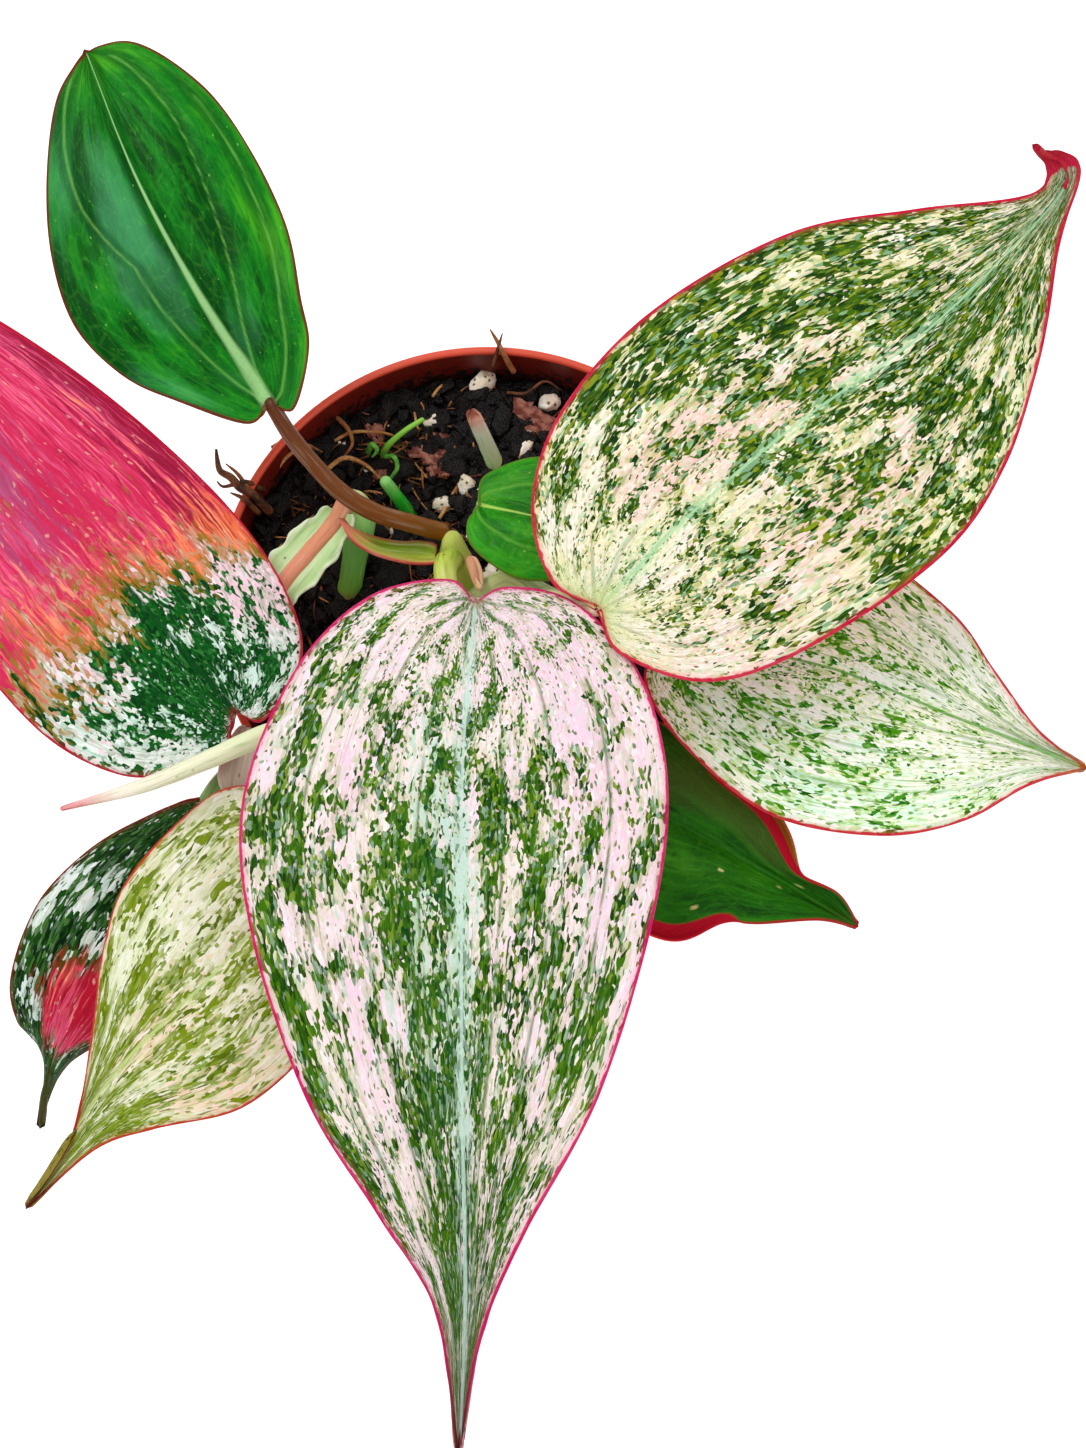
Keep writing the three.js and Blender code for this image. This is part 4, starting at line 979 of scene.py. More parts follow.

# What the leaves' materials read: (share, side, half length, half width, green, tint, mint),
# zero where left out. On the plain leaves the mint amount lays a painted sheen and the tint painted
# highlight spots. ALL is so wide that a spot takes in the whole leaf
ALL = 9
MARKS = {
    "leaf_front": [
        (0.5, 0, ALL, ALL, -0.12), (0.02, 0, 0.22, ALL, -0.12, 0.1), (0.72, 0, 0.2, ALL, 0.02),
        (0.5, -0.16, 0.22, 0.16, 0.14, 0, 0.6), (0.55, 0.1, 0.25, 0.12, 0.06, 0, 0.2),
        (0.75, 0, 0.14, 0.3, 0.02, 0, 0.25), (0.27, 0.18, 0.08, 0.1, 0.14), (0.44, 0.24, 0.09, 0.14, 0.3),
        (0.53, 0.42, 0.07, 0.12, 0.3), (0.62, 0.25, 0.06, 0.1, 0.2), (0.5, -0.3, 0.08, 0.14, 0.24),
        (0.34, -0.4, 0.06, 0.12, 0.2), (0.3, -0.75, 0.07, 0.12, 0.2), (0.48, -0.78, 0.1, 0.12, 0.24),
        (0.68, -0.9, 0.14, 0.12, 0.3), (0.7, -0.3, 0.08, 0.16, 0.16, 0, 0.2), (0.82, -0.25, 0.1, 0.3, 0.3),
        (0.7, 0.66, 0.1, 0.09, 0.34), (0.84, 0.6, 0.1, 0.3, 0.24), (0.58, 0.85, 0.08, 0.08, 0.16),
        (0.42, 0.72, 0.16, 0.2, -0.1, 0.4), (0.25, 0.55, 0.14, 0.3, -0.06, 0.4),
        (0.42, -0.55, 0.06, 0.1, -0.06, 0.5), (0.62, -0.55, 0.1, 0.12, -0.1, 0.3),
        (0.93, 0, 0.06, ALL, 0.16, 0, 0.1),
    ],
    "leaf_upper_right": [
        (0.5, 0, ALL, ALL, 0.02, 0.1, -0.15), (0, 0, 0.24, ALL, -0.5, -0.1, 0.2),
        (0.45, 0.85, 0.25, 0.25, 0.2, -0.1), (0.66, 0.3, 0.14, 0.25, 0.2),
        (0.7, -0.35, 0.12, 0.3, 0.28, 0, 0.1), (0.36, 0.3, 0.12, 0.2, -0.1, 0.5),
        (0.26, -0.9, 0.14, 0.25, -0.16, 0.3), (0.52, 0.15, 0.1, 0.15, -0.06, 0.3, 0.1),
        (0.45, -0.5, 0.14, 0.2, -0.02, 0.4), (0.3, -0.4, 0.1, 0.16, 0.1),
        # The mint strip along the right margin, at side -0.98, is a painted glare
        (0.5, -0.98, 0.3, 0.12, 0, -0.2, 0.5), (0.22, 0.2, 0.1, 0.2, -0.1, -0.2, 0.3),
    ],
    "leaf_mint_right": [
        (0.5, 0, ALL, ALL, -0.2, -0.4, 0.2), (0.85, 0, 0.2, ALL, -0.1, 0.7, -0.2),
        (0.35, -0.5, 0.2, 0.3, 0.16, -0.1, 0.2), (0.45, 0.3, 0.2, 0.3, 0.12, -0.2),
        (0.3, 0.9, 0.3, 0.3, 0.06, 0, -0.1), (0.7, -0.85, 0.2, 0.3, 0.04, -0.3, 0.35),
    ],
    "leaf_cream_left": [
        (0.5, 0, ALL, ALL, -0.08), (0.15, 0, 0.22, ALL, -0.12, 0.2), (0.94, 0, 0.14, ALL, 0.26, -0.2),
        (0.68, 0, 0.14, 0.3, 0.06, 0.5), (0.5, 0.3, 0.12, 0.2, 0.12), (0.66, 0.75, 0.12, 0.25, 0, 0.5),
        (0.55, -0.75, 0.3, 0.2, 0.1), (0.6, 0.55, 0.2, 0.12, 0.12, 0, 0.1),
    ],
    "leaf_half_red": [
        (0.5, 0, ALL, ALL, 0.19), (0.3, 0, 0.26, ALL, 0.16), (0.5, -0.5, 0.1, 0.6, -0.2, 0.1),
        (0.9, 0, 0.12, ALL, 0.5, -0.2), (0.62, 0.2, 0.14, 0.5, 0, 0.1, 0.3),
        (0.6, -0.3, 0.06, 0.3, 0, 0.4, -0.2),
    ],
    "leaf_pink_left": [
        (0.5, 0, ALL, ALL, 0.04), (0.14, 0.15, 0.16, 0.45, 0.26), (0.3, 0.2, 0.12, 0.4, 0.24),
        (0.22, -0.85, 0.22, 0.35, -0.06, 0, 0.1), (0.3, 1, 0.24, 0.22, -0.2, 0, 0.2),
        (0.42, -0.2, 0.09, 0.7, 0, 0.5, -0.2), (0.62, -0.9, 0.2, 0.2, 0, 0.1, -0.5),
        # The mint amounts near the tip, at 0.78 and 0.98, lay a purple-grey haze over the red: a painted
        # glare
        (0.78, 0.2, 0.3, 0.4, 0, -0.2, 0.7), (0.5, 0.6, 0.1, 0.4, 0, 0.4),
        (0.43, -0.8, 0.1, 0.25, -0.08, 0.9), (0.98, 0, 0.16, ALL, 0, -0.2, 0.6),
    ],
    "leaf_green_oval": [
        (0.12, 0.3, 0.2, 0.9, 0.1, 0, 0.05), (0.7, 0.25, 0.16, 0.3, 0, 0, 0.3),
        (0.55, -0.85, 0.4, 0.25, 0.3, 0, -0.2), (0.97, 0, 0.12, ALL, 0.25, 0, -0.2),
        (0.5, 0, 0.3, 0.5, -0.06),
    ],
    "leaf_green_right": [
        (0.2, 0, 0.3, ALL, -0.1, 0, -0.1), (0.62, -0.3, 0.2, 0.5, 0.24, 0, -0.1),
        (0.5, 0.6, 0.4, 0.5, -0.1, 0, 0.2), (0.64, -0.34, 0.01, 0.028, 0, 1),
        # The four tiny spots with a tint, at 0.64, 0.835, 0.8 and 0.56, are painted gloss highlights
        (0.835, 0.2, 0.02, 0.12, 0, 0.6), (0.8, -0.2, 0.014, 0.08, 0, 0.55),
        (0.56, -0.74, 0.016, 0.03, 0, 0.7), (1, 0, 0.05, ALL, 0.1, 0, 0.3),
    ],
    "leaf_small_round": [(0.5, 0, ALL, ALL, 0.05)],
}

# Where the red of two leaves is, in the same way: (..., amount)
STAINS = {
    "leaf_pink_left": [
        (0.88, 0, 0.36, ALL, 1.3), (0.54, -0.95, 0.12, 0.3, 0.5), (0.5, -0.1, 0.1, 0.9, 0.25),
        (0.28, -0.95, 0.16, 0.25, -0.4), (0.4, -0.9, 0.06, 0.25, -0.2), (0.36, 0.95, 0.1, 0.2, -0.2),
    ],
    "leaf_half_red": [(0.66, 0.15, 0.12, 0.75, 1.1)],
}

# Rows and half columns of each leaf's mesh
FINENESS = {
    "leaf_front": (190, 46), "leaf_upper_right": (170, 42), "leaf_pink_left": (170, 40),
    "leaf_green_oval": (120, 36), "leaf_mint_right": (130, 36), "leaf_cream_left": (130, 34),
    "leaf_half_red": (110, 30), "leaf_green_right": (110, 44), "leaf_small_round": (60, 24),
}

# The petioles' and wings' colours at shares of their length or width
PETIOLES = {
    "leaf_green_oval": [(0, (136, 80, 8)), (0.3, (116, 62, 0)), (0.8, (98, 46, 0)), (1, (80, 34, 0))],
    "leaf_pink_left": [
        (0, (226, 150, 110)), (0.6, (224, 142, 112)), (0.85, (150, 150, 90)), (1, (60, 110, 60)),
    ],
    "leaf_half_red": [(0, (120, 160, 80)), (1, (110, 150, 80))],
    "leaf_cream_left": [(0, (150, 180, 100)), (1, (190, 205, 140))],
    "leaf_front": [
        (0, (150, 178, 40)), (0.4, (184, 204, 70)), (0.8, (206, 206, 110)), (1, (190, 200, 110)),
    ],
    "leaf_upper_right": [(0, (190, 206, 130)), (0.6, (206, 216, 150)), (1, (226, 206, 170))],
    "leaf_mint_right": [(0, (160, 190, 110)), (1, (200, 214, 150))],
    "leaf_green_right": [(0, (140, 160, 80)), (1, (120, 130, 60))],
    "leaf_small_round": [(0, (120, 180, 80)), (1, (130, 190, 90))],
}
WING_STOPS = [
    (0, (228, 242, 204)), (0.1, (176, 216, 140)), (0.34, (208, 234, 178)), (0.42, (226, 146, 104)),
    (0.58, (222, 138, 96)), (0.66, (208, 234, 178)), (0.9, (176, 216, 140)), (1, (228, 242, 204)),
]

# Where the veins are pressed in, and how strongly
FORMS = {
    "leaf_green_oval": {
        "veins": [
            [(0.04, 0.1), (0.2, 0.25), (0.4, 0.3), (0.58, 0.36), (0.71, 0.66), (0.81, 0.8), (0.92, 0.86)],
            [(0.1, 0), (0.29, -0.17), (0.45, -0.33), (0.6, -0.47), (0.78, -0.63), (0.92, -0.72)],
            [(0.06, -0.3), (0.16, -0.58), (0.41, -0.77), (0.63, -0.86), (0.75, -0.88)],
        ],
        "press": 0.5, "trough": 1.5, "swell": 0.5, "foot": [(-5.9, 9.4, 86.6)],
    },
    "leaf_green_right": {
        "veins": [[(0.05, -0.3), (0.9, -0.45)], [(0.05, 0.3), (0.9, 0.45)]], "press": 0.12,
    },
    "leaf_small_round": {
        "veins": [[(0.05, -0.4), (0.9, -0.6)], [(0.05, 0.4), (0.9, 0.6)]], "press": 0.18, "swell": 0.25,
    },
}
SHEATH_FORM = {
    "veins": [[(0, -0.6), (1, -0.6)], [(0, 0.6), (1, 0.6)]], "press": 0.05, "swell": 0.1, "pucker": 0.08,
}

SEEDS = {name: SEED_PACE * (i + 1) for i, name in enumerate([*LEAVES, *STEMS, *SHEATHS])}


def leaf_piece(name):
    """A leaf: its blade, its petiole and, on one of them, the petiole's wings."""
    leaf = LEAVES[name] | {"marks": MARKS[name], "stains": STAINS.get(name, [])} | FORMS.get(name, {})
    paint, look = (variegated, LOOKS[name]) if name in LOOKS else (plain, PLAIN[name])
    streak = 0.1 if name == "leaf_green_oval" else 0.25
    skins = [paint(name + "_blade", look), stalky(name + "_stalk", PETIOLES[name], streak)]
    piece = Piece(name + "_leaf", name, skins)
    add_blade(piece, leaf, *FINENESS[name], SEEDS[name])
    add_tube(piece, leaf.get("foot", []) + leaf["petiole"], leaf["thick"], SEEDS[name], 1)
    if "wings" in leaf:
        piece.materials.append(stalky("wing_sheath", WING_STOPS, 0.15, by="across"))
        add_wings(piece, leaf, SEEDS[name], 2)
    piece.finish()


def add_wings(piece, leaf, seed, material):
    """A thin wavy sheath on both sides of a petiole, for part of its length."""
    wings = leaf["wings"]
    rows, columns = WING_MESH
    run = np.linspace(0, 1, rows + 1)
    centres, ahead, length = curve(leaf["petiole"], np.linspace(wings["start"], wings["end"], rows + 1))
    side = np.stack([-ahead[:, 1], ahead[:, 0], 0 * run], -1)
    side /= np.linalg.norm(side, axis=1)[:, None]
    swell = np.sin(math.pi * (0.1 + 0.8 * run)) ** 0.6
    out = np.linspace(-1, 1, 2 * columns + 1)
    wave, ripple = np.sin(run * 23)[:, None], np.sin(run * 31 + 1.0)[:, None]
    reach = wings["reach"] * swell[:, None] * out + 0.3 * out**2 * np.sign(out) * wave
    lift = 0.45 + 0.7 * np.abs(out) ** 1.5 + 0.45 * np.abs(out) ** 3 * ripple
    top = centres[:, None] + side[:, None] * reach[..., None]
    top[..., 2] += lift + 0.5 * np.exp(-((out / 0.25) ** 2))
    flow, runs, across = np.zeros(top.shape), np.zeros(reach.shape), np.zeros(reach.shape)
    runs[:], across[:] = run[:, None], (out + 1) / 2
    flow[..., 0], flow[..., 1], flow[..., 2] = reach, run[:, None] * length * 0.5, seed
    sheet(piece, top, WING_THICK, material, flow=flow, run=runs, across=across)


for leaf_name in LEAVES:
    leaf_piece(leaf_name)


def torn(reach):
    """Pulls the end of a stalk out into a ragged edge."""
    def pull(points, shares):
        turn = full_turn(points.shape[1])
        ahead = points[-1].mean(axis=0) - points[-9].mean(axis=0)
        ahead /= np.linalg.norm(ahead)
        jag = 0.3 + 0.5 * np.sin(3 * turn + 1.0) + 0.35 * np.sin(7 * turn)
        return points + (np.clip((shares - 0.9) * 10, 0, 1)[:, None] * jag * reach)[..., None] * ahead
    return pull


# The stems' colours at shares of their length
STALKS = {
    "stem_main": [(0, (110, 130, 50)), (0.7, (160, 188, 60)), (1, (208, 218, 104))],
    "stem_left": [
        (0, (90, 60, 34)), (0.42, (130, 90, 54)), (0.5, (120, 186, 70)), (0.75, (124, 212, 100)),
        (0.9, (170, 224, 130)), (1, (236, 234, 170)),
    ],
    "stem_cut": [
        (0, (150, 206, 120)), (0.6, (210, 246, 180)), (0.86, (240, 252, 224)), (0.94, (248, 220, 200)),
        (0.98, (226, 160, 136)), (1, (150, 80, 60)),
    ],
    "stalk_green": [(0, (20, 140, 30)), (0.8, (40, 206, 46)), (1, (150, 220, 120))],
    "sprout_thin": [(0, (100, 190, 50)), (1, (150, 220, 80))],
    "leaf_new_rolled": [
        (0, (190, 214, 100)), (0.3, (224, 238, 166)), (0.6, (238, 244, 200)), (0.86, (246, 236, 218)),
        (0.95, (236, 170, 172)), (1, (206, 30, 76)),
    ],
}

for stem_name, stops in STALKS.items():
    stem = STEMS[stem_name]
    streaks = (0.3, (140, 176, 70)) if stem_name == "leaf_new_rolled" else (0.1,)
    piece = Piece(stem_name + "_stalk", stem_name, [stalky(stem_name + "_skin", stops, *streaks)])
    ends = {"stem_cut": torn(1.1), "stem_left": torn(0.5)}.get(stem_name)
    add_tube(piece, stem["path"], stem["thick"], SEEDS[stem_name], ends=ends)
    piece.finish()

# The sheaths' colours at shares of their width, and at their tips
SKINS = {
    "cataphyll_boat": (
        [
            (0, (150, 60, 30)), (0.07, (140, 140, 30)), (0.3, (120, 156, 20)), (0.55, (168, 190, 60)),
            (0.86, (190, 190, 80)), (0.95, (226, 140, 96)), (1, (190, 60, 50)),
        ],
        (240, 130, 110),
    ),
    "sheath_pink": ([(0, (236, 170, 130)), (0.5, (232, 150, 112)), (1, (240, 190, 150))], (240, 200, 150)),
    "sheath_papery": ([(0, (196, 178, 160)), (0.5, (176, 156, 140)), (1, (200, 184, 166))], None),
}

for sheath_name, (stops, tip) in SKINS.items():
    skin = stalky(sheath_name + "_skin", stops, by="across", tip=tip)
    piece = Piece(sheath_name + "_blade", sheath_name, [skin])
    add_blade(piece, SHEATHS[sheath_name] | SHEATH_FORM, *SHEATH_MESH, SEEDS[sheath_name])
    piece.finish()


def lathe(piece, profile, segments):
    """Adds a closed solid of revolution whose profile starts and ends on the axis."""
    rings = [(r, z) for r, z in profile if r > 0]
    points = [(r * math.cos(a), r * math.sin(a), z) for r, z in rings for a in full_turn(segments)]
    points += [(0, 0, profile[0][1]), (0, 0, profile[-1][1])]
    piece.add(points, tube_faces(len(rings), segments), flow=points)


def rounded(profile, corner, radius):
    """The profile with the numbered corner rounded in five steps."""
    before, at, after = (np.array(point, float) for point in profile[corner - 1 : corner + 2])
    first = at + (before - at) / np.linalg.norm(before - at) * radius
    last = at + (after - at) / np.linalg.norm(after - at) * radius
    f = np.linspace(0, 1, 6)[:, None]
    arc = (1 - f) ** 2 * first + 2 * f * (1 - f) * at + f**2 * last
    return profile[:corner] + [tuple(p) for p in arc] + profile[corner + 1 :]


# How far the pot's inner wall leans out a millimetre of height, and how wide it is inside
LEAN = (RIM_RADIUS - LIP_WIDTH - BASE_RADIUS + WALL) / (POT_HEIGHT - FLOOR)


def inner_radius(z):
    return BASE_RADIUS - WALL + (z - FLOOR) * LEAN


def pot_piece():
    """The pot, turned finely, with a rim band, a soft lip and its drainage holes."""
    band = POT_HEIGHT - BAND_HEIGHT
    profile = [
        (0, 0), (BOSS_RADIUS, 0), (BOSS_RADIUS + 1, FOOT_RECESS), (BASE_RADIUS - FOOT_RING - 1, FOOT_RECESS),
        (BASE_RADIUS - FOOT_RING, 0), (BASE_RADIUS - 0.6, 0), (inner_radius(FLOOR) + WALL, 1),
        (inner_radius(band) + WALL, band), (RIM_RADIUS - BAND_DRAFT, band), (RIM_RADIUS, POT_HEIGHT),
        (RIM_RADIUS - LIP_WIDTH, POT_HEIGHT), (inner_radius(POT_HEIGHT - 3), POT_HEIGHT - 3),
        (inner_radius(SOIL_TOP - 4), SOIL_TOP - 4), (inner_radius(FLOOR + 3), FLOOR + 3),
        (inner_radius(FLOOR), FLOOR), (0, FLOOR),
    ]
    # From the last corner back, so that the numbers of the others still hold
    for corner, radius in ((14, 1.2), (10, 0.55), (9, 0.6), (8, 0.5), (7, 0.4), (5, 0.3), (4, 0.3)):
        profile = rounded(profile, corner, radius)
    piece = Piece("pot_shell", "pot", [pot_skin()])
    lathe(piece, profile, POT_SIDES)
    pot = piece.finish()
    cutters = []
    for i in range(DRAIN_COUNT):
        turn = 2 * math.pi * (i + 0.5) / DRAIN_COUNT
        bpy.ops.mesh.primitive_cylinder_add(
            vertices=DRAIN_SIDES, radius=DRAIN_RADIUS * MM, depth=3 * FLOOR * MM,
            location=(DRAIN_RING * MM * math.cos(turn), DRAIN_RING * MM * math.sin(turn), FLOOR * MM),
        )
        cutters.append(bpy.context.object)
    for cutter in cutters:
        cut = pot.modifiers.new("drain", "BOOLEAN")
        cut.operation, cut.object, cut.solver = "DIFFERENCE", cutter, "EXACT"
    shape = pot.evaluated_get(bpy.context.evaluated_depsgraph_get())
    cut_mesh = bpy.data.meshes.new_from_object(shape)
    pot.modifiers.clear()
    pot.data = cut_mesh
    for cutter in cutters:
        bpy.data.objects.remove(cutter)


def pot_skin():
    """Terracotta-coloured plastic: faint mottling and scuffs, and splashes of soil inside; painted shade
    on the inner wall and a painted highlight along the top of the lip.
    """
    shade = Shade("pot_plastic")
    flow = shade.scaled(shade.node("TexCoord").outputs["Object"], 1 / MM, 1 / MM, 1 / MM)
    x, y, z = shade.parts(flow)
    broad = shade.grain(flow, (0.06, 0.06, 0.06), 3.0)
    scuff = shade.grain(flow, (0.3, 0.3, 2.2), 4.0, 0.6)
    skin = shade.over((192, 64, 37), (202, 73, 43), broad, 0.3, 0.7)
    skin = shade.over(skin, (232, 128, 92), scuff, 0.58, 0.72, 0.0, 0.35)
    across = shade.maths("SQRT", shade.sum(shade.times(x, x), (y, y)))
    wall = shade.sum(BASE_RADIUS - WALL, (shade.maths("SUBTRACT", z, FLOOR), LEAN))
    # Painted shade: the inner wall, below the lip, is darkened almost fully to a deep red-brown
    inside = shade.times(
        shade.step(shade.maths("SUBTRACT", across, wall), 0.15, 0.5, 1.0, 0.0),
        shade.step(z, POT_HEIGHT - 0.8, POT_HEIGHT - 0.2, 1.0, 0.0),
    )
    skin = shade.mix(shade.times(inside, 0.95), skin, (98, 14, 6))
    # Painted highlight: the top of the lip in a lighter, brighter red
    skin = shade.over(skin, (234, 84, 56), z, POT_HEIGHT - 0.7, POT_HEIGHT - 0.3, 0.0, 0.8)
    low = shade.step(z, SOIL_TOP, POT_HEIGHT - 1.0, 0.62, 0.36)
    dirt = shade.sum(shade.grain(flow, (0.9, 0.9, 0.9), 4.0, 0.7), (low, 1.0))
    skin = shade.mix(shade.times(shade.step(dirt, 1.02, 1.08), inside), skin, (26, 18, 15))
    return shade.finish(
        Base_Color=skin, Roughness=shade.step(scuff, 0.4, 0.7, 0.36, 0.55),
        Normal=shade.bump(shade.maths("ADD", scuff, broad), 0.12, 0.4),
    )


def soil_height(x, y):
    share = np.hypot(x, y) / RIM_RADIUS
    heave = 0.55 * np.sin(x * 0.31 + 1.2) * np.cos(y * 0.37 - 0.4)
    return SOIL_TOP + SOIL_RISE * (1 - share**2) + heave + 0.33 * np.sin(x * 0.83 - y * 0.71)


def on_soil(x, y, lift):
    return x, y, float(soil_height(x, y)) + lift


def somewhere(dice, wide):
    """A random place within a circle about the middle of the pot."""
    radius, turn = wide * math.sqrt(dice.random()), dice.uniform(0, 2 * math.pi)
    return radius * math.cos(turn), radius * math.sin(turn)


def lump_shape(level):
    """The points and faces of a ball to be squashed into grains."""
    bpy.ops.mesh.primitive_ico_sphere_add(subdivisions=level, radius=1)
    ball = bpy.context.object
    points = np.array([v.co[:] for v in ball.data.vertices])
    faces = [list(p.vertices) for p in ball.data.polygons]
    bpy.data.objects.remove(ball)
    return points, faces


def add_lump(piece, shape, at, size, dice, material, sharp, seed):
    """Adds one uneven grain at a place, turned at random about a leaning upright axis."""
    points, faces = shape
    bumps = rough(points, 1.0, seed) + 0.5 * rough(points, 0.45, seed)
    points = points * (1 + sharp * bumps)[:, None] * size
    a, b = dice.uniform(0, 2 * math.pi), dice.gauss(0, 0.35)
    c, s, cb, sb = math.cos(a), math.sin(a), math.cos(b), math.sin(b)
    points = points @ np.array([[c, -s * cb, s * sb], [s, c * cb, -c * sb], [0, sb, cb]]).T + at
    piece.add(points, faces, material, flow=points)


# Perlite grains in set places (x, y and three radii), and bark chips (x, y, three sizes, spin, slant)
GRAINS = [
    (-1.3, 40.1, 3, 1.9, 1.9), (-7.7, 18.8, 1.7, 1.5, 1.5), (-3.7, 22.2, 1.5, 1.8, 1.4),
    (6.3, 29.2, 2.5, 1.5, 1.3), (10.4, 37.3, 1.8, 1.5, 1.4), (-9.2, 33.9, 1.4, 1.7, 1.3),
    (-17.9, 8.2, 1.2, 1, 1), (-15.2, 13.9, 1.8, 0.9, 0.9), (1.4, 6.4, 1.8, 2.2, 1.3),
    (5.6, 20.4, 0.9, 0.8, 0.8),
]
CHIPS = [
    (-9.6, 28.4, 3.6, 2.7, 1.3, 0.9, 0.35), (8.2, 33.4, 4.4, 2.5, 1.2, 2.5, -0.3),
    (-8.4, 25, 2, 1.7, 0.9, 2, 0.2), (-17.4, 25, 2, 1.5, 0.9, 0.4, 0.3),
    (-19, 31.2, 2.3, 1.3, 0.8, 1.9, -0.4),
]

# The grain against the stem, its place and radii
STEM_GRAIN_AT = (0.6, 4.7, 74.4)
STEM_GRAIN = (1.5, 2.4, 1.1)

# Straws in set places: start, heading, length, thickness
STRAWS = [((-41.5, 20), 0.7, 18, 0.28), ((-26, 30), 0.5, 15, 0.3), ((-9.5, 38), 0.95, 8, 0.3)]

# Threads and shoots in set places: path, thickness, material
LOOSE = [
    (
        [
            (-36.5, 17, 74), (-39.4, 18.9, 78.4), (-41.1, 19.6, 79.3), (-42.6, 21.2, 79.7),
            (-44.3, 22.2, 80), (-44.8, 24, 80.2), (-45, 25.8, 80.6),
        ],
        0.85, DARK_ROOT,
    ),
    (
        [(-37.5, 20.5, 75), (-40.2, 20.6, 79), (-42, 20, 79.5), (-43.9, 19.6, 79.7), (-44.8, 20.4, 80)],
        0.5, DARK_ROOT,
    ),
    ([(-39.2, 18.6, 78.3), (-41.4, 21.8, 79.5), (-43.4, 23.4, 80.2)], 0.4, RED_ROOT),
    ([(-38, 16, 76), (-40.6, 17.8, 79), (-42.6, 18.6, 79.4)], 0.5, DARK_ROOT),
    ([(4.4, 41, 76), (2.9, 42.8, 78.7), (1.8, 44.9, 79.3), (0.4, 47, 80.4)], 0.5, RED_ROOT),
    ([(0.8, 41.8, 76.5), (1.7, 44, 79), (2.5, 46.4, 80.3)], 0.35, DARK_ROOT),
    ([(-20.2, 27.6, 73.5), (-19.4, 28.2, 76), (-18.5, 27, 76.5), (-19.4, 26, 75.7)], 0.5, SHOOT),
    (
        [(-17.2, 26.4, 75), (-15.6, 25.8, 76.4), (-15.1, 24, 76.2), (-16.2, 22.5, 75.4), (-17, 21, 74.6)],
        0.42, SHOOT,
    ),
    (
        [(-35.5, 24.8, 73.5), (-33.2, 26.8, 75), (-31, 27.6, 74.6), (-29.5, 26, 74.6), (-29.4, 23.6, 74)],
        0.36, STRAW,
    ),
    ([(-36.5, 28.6, 73), (-33.6, 29.6, 74.4), (-30.5, 28.6, 74.8), (-27.8, 27.4, 74.2)], 0.4, RED_ROOT),
    ([(-25.6, 34, 73), (-23.5, 31.2, 74.6), (-22.8, 28.6, 75), (-24.4, 26.4, 74.2)], 0.4, RED_ROOT),
    ([(-27, 24.6, 73.8), (-24, 26, 75.4), (-20.6, 24.8, 75.6), (-18, 22.6, 74.6)], 0.42, STRAW),
    ([(3.2, 38.4, 73), (6.5, 37.8, 74.6), (9.6, 39.6, 75.4), (12.6, 38.2, 74.4)], 0.3, DARK_ROOT),
]


def add_bed(piece):
    """Adds the heaved body of the soil, which fills the pot down to its floor."""
    foot = FLOOR + 0.4
    wide, low = inner_radius(SOIL_TOP) - BED_GAP, inner_radius(foot) - BED_GAP
    turn = full_turn(BED_SIDES)
    radii = np.linspace(wide / BED_RINGS, wide, BED_RINGS)[::-1]
    x, y = radii[:, None] * np.cos(turn), radii[:, None] * np.sin(turn)
    flat = np.stack([x, y, 0 * x], -1)
    heave = 0.75 * rough(flat, 3.4) + 0.5 * rough(flat, 1.3) + 0.25 * rough(flat, 0.6)
    top = np.stack([x, y, soil_height(x, y) + heave - 0.4], -1)
    bottom = np.stack([low * np.cos(turn), low * np.sin(turn), np.full(BED_SIDES, foot)], -1)
    points = np.concatenate([bottom, top.reshape(-1, 3), [[0, 0, foot], [0, 0, soil_height(0, 0)]]])
    piece.add(points, tube_faces(BED_RINGS + 1, BED_SIDES), CRUMB, flow=points)


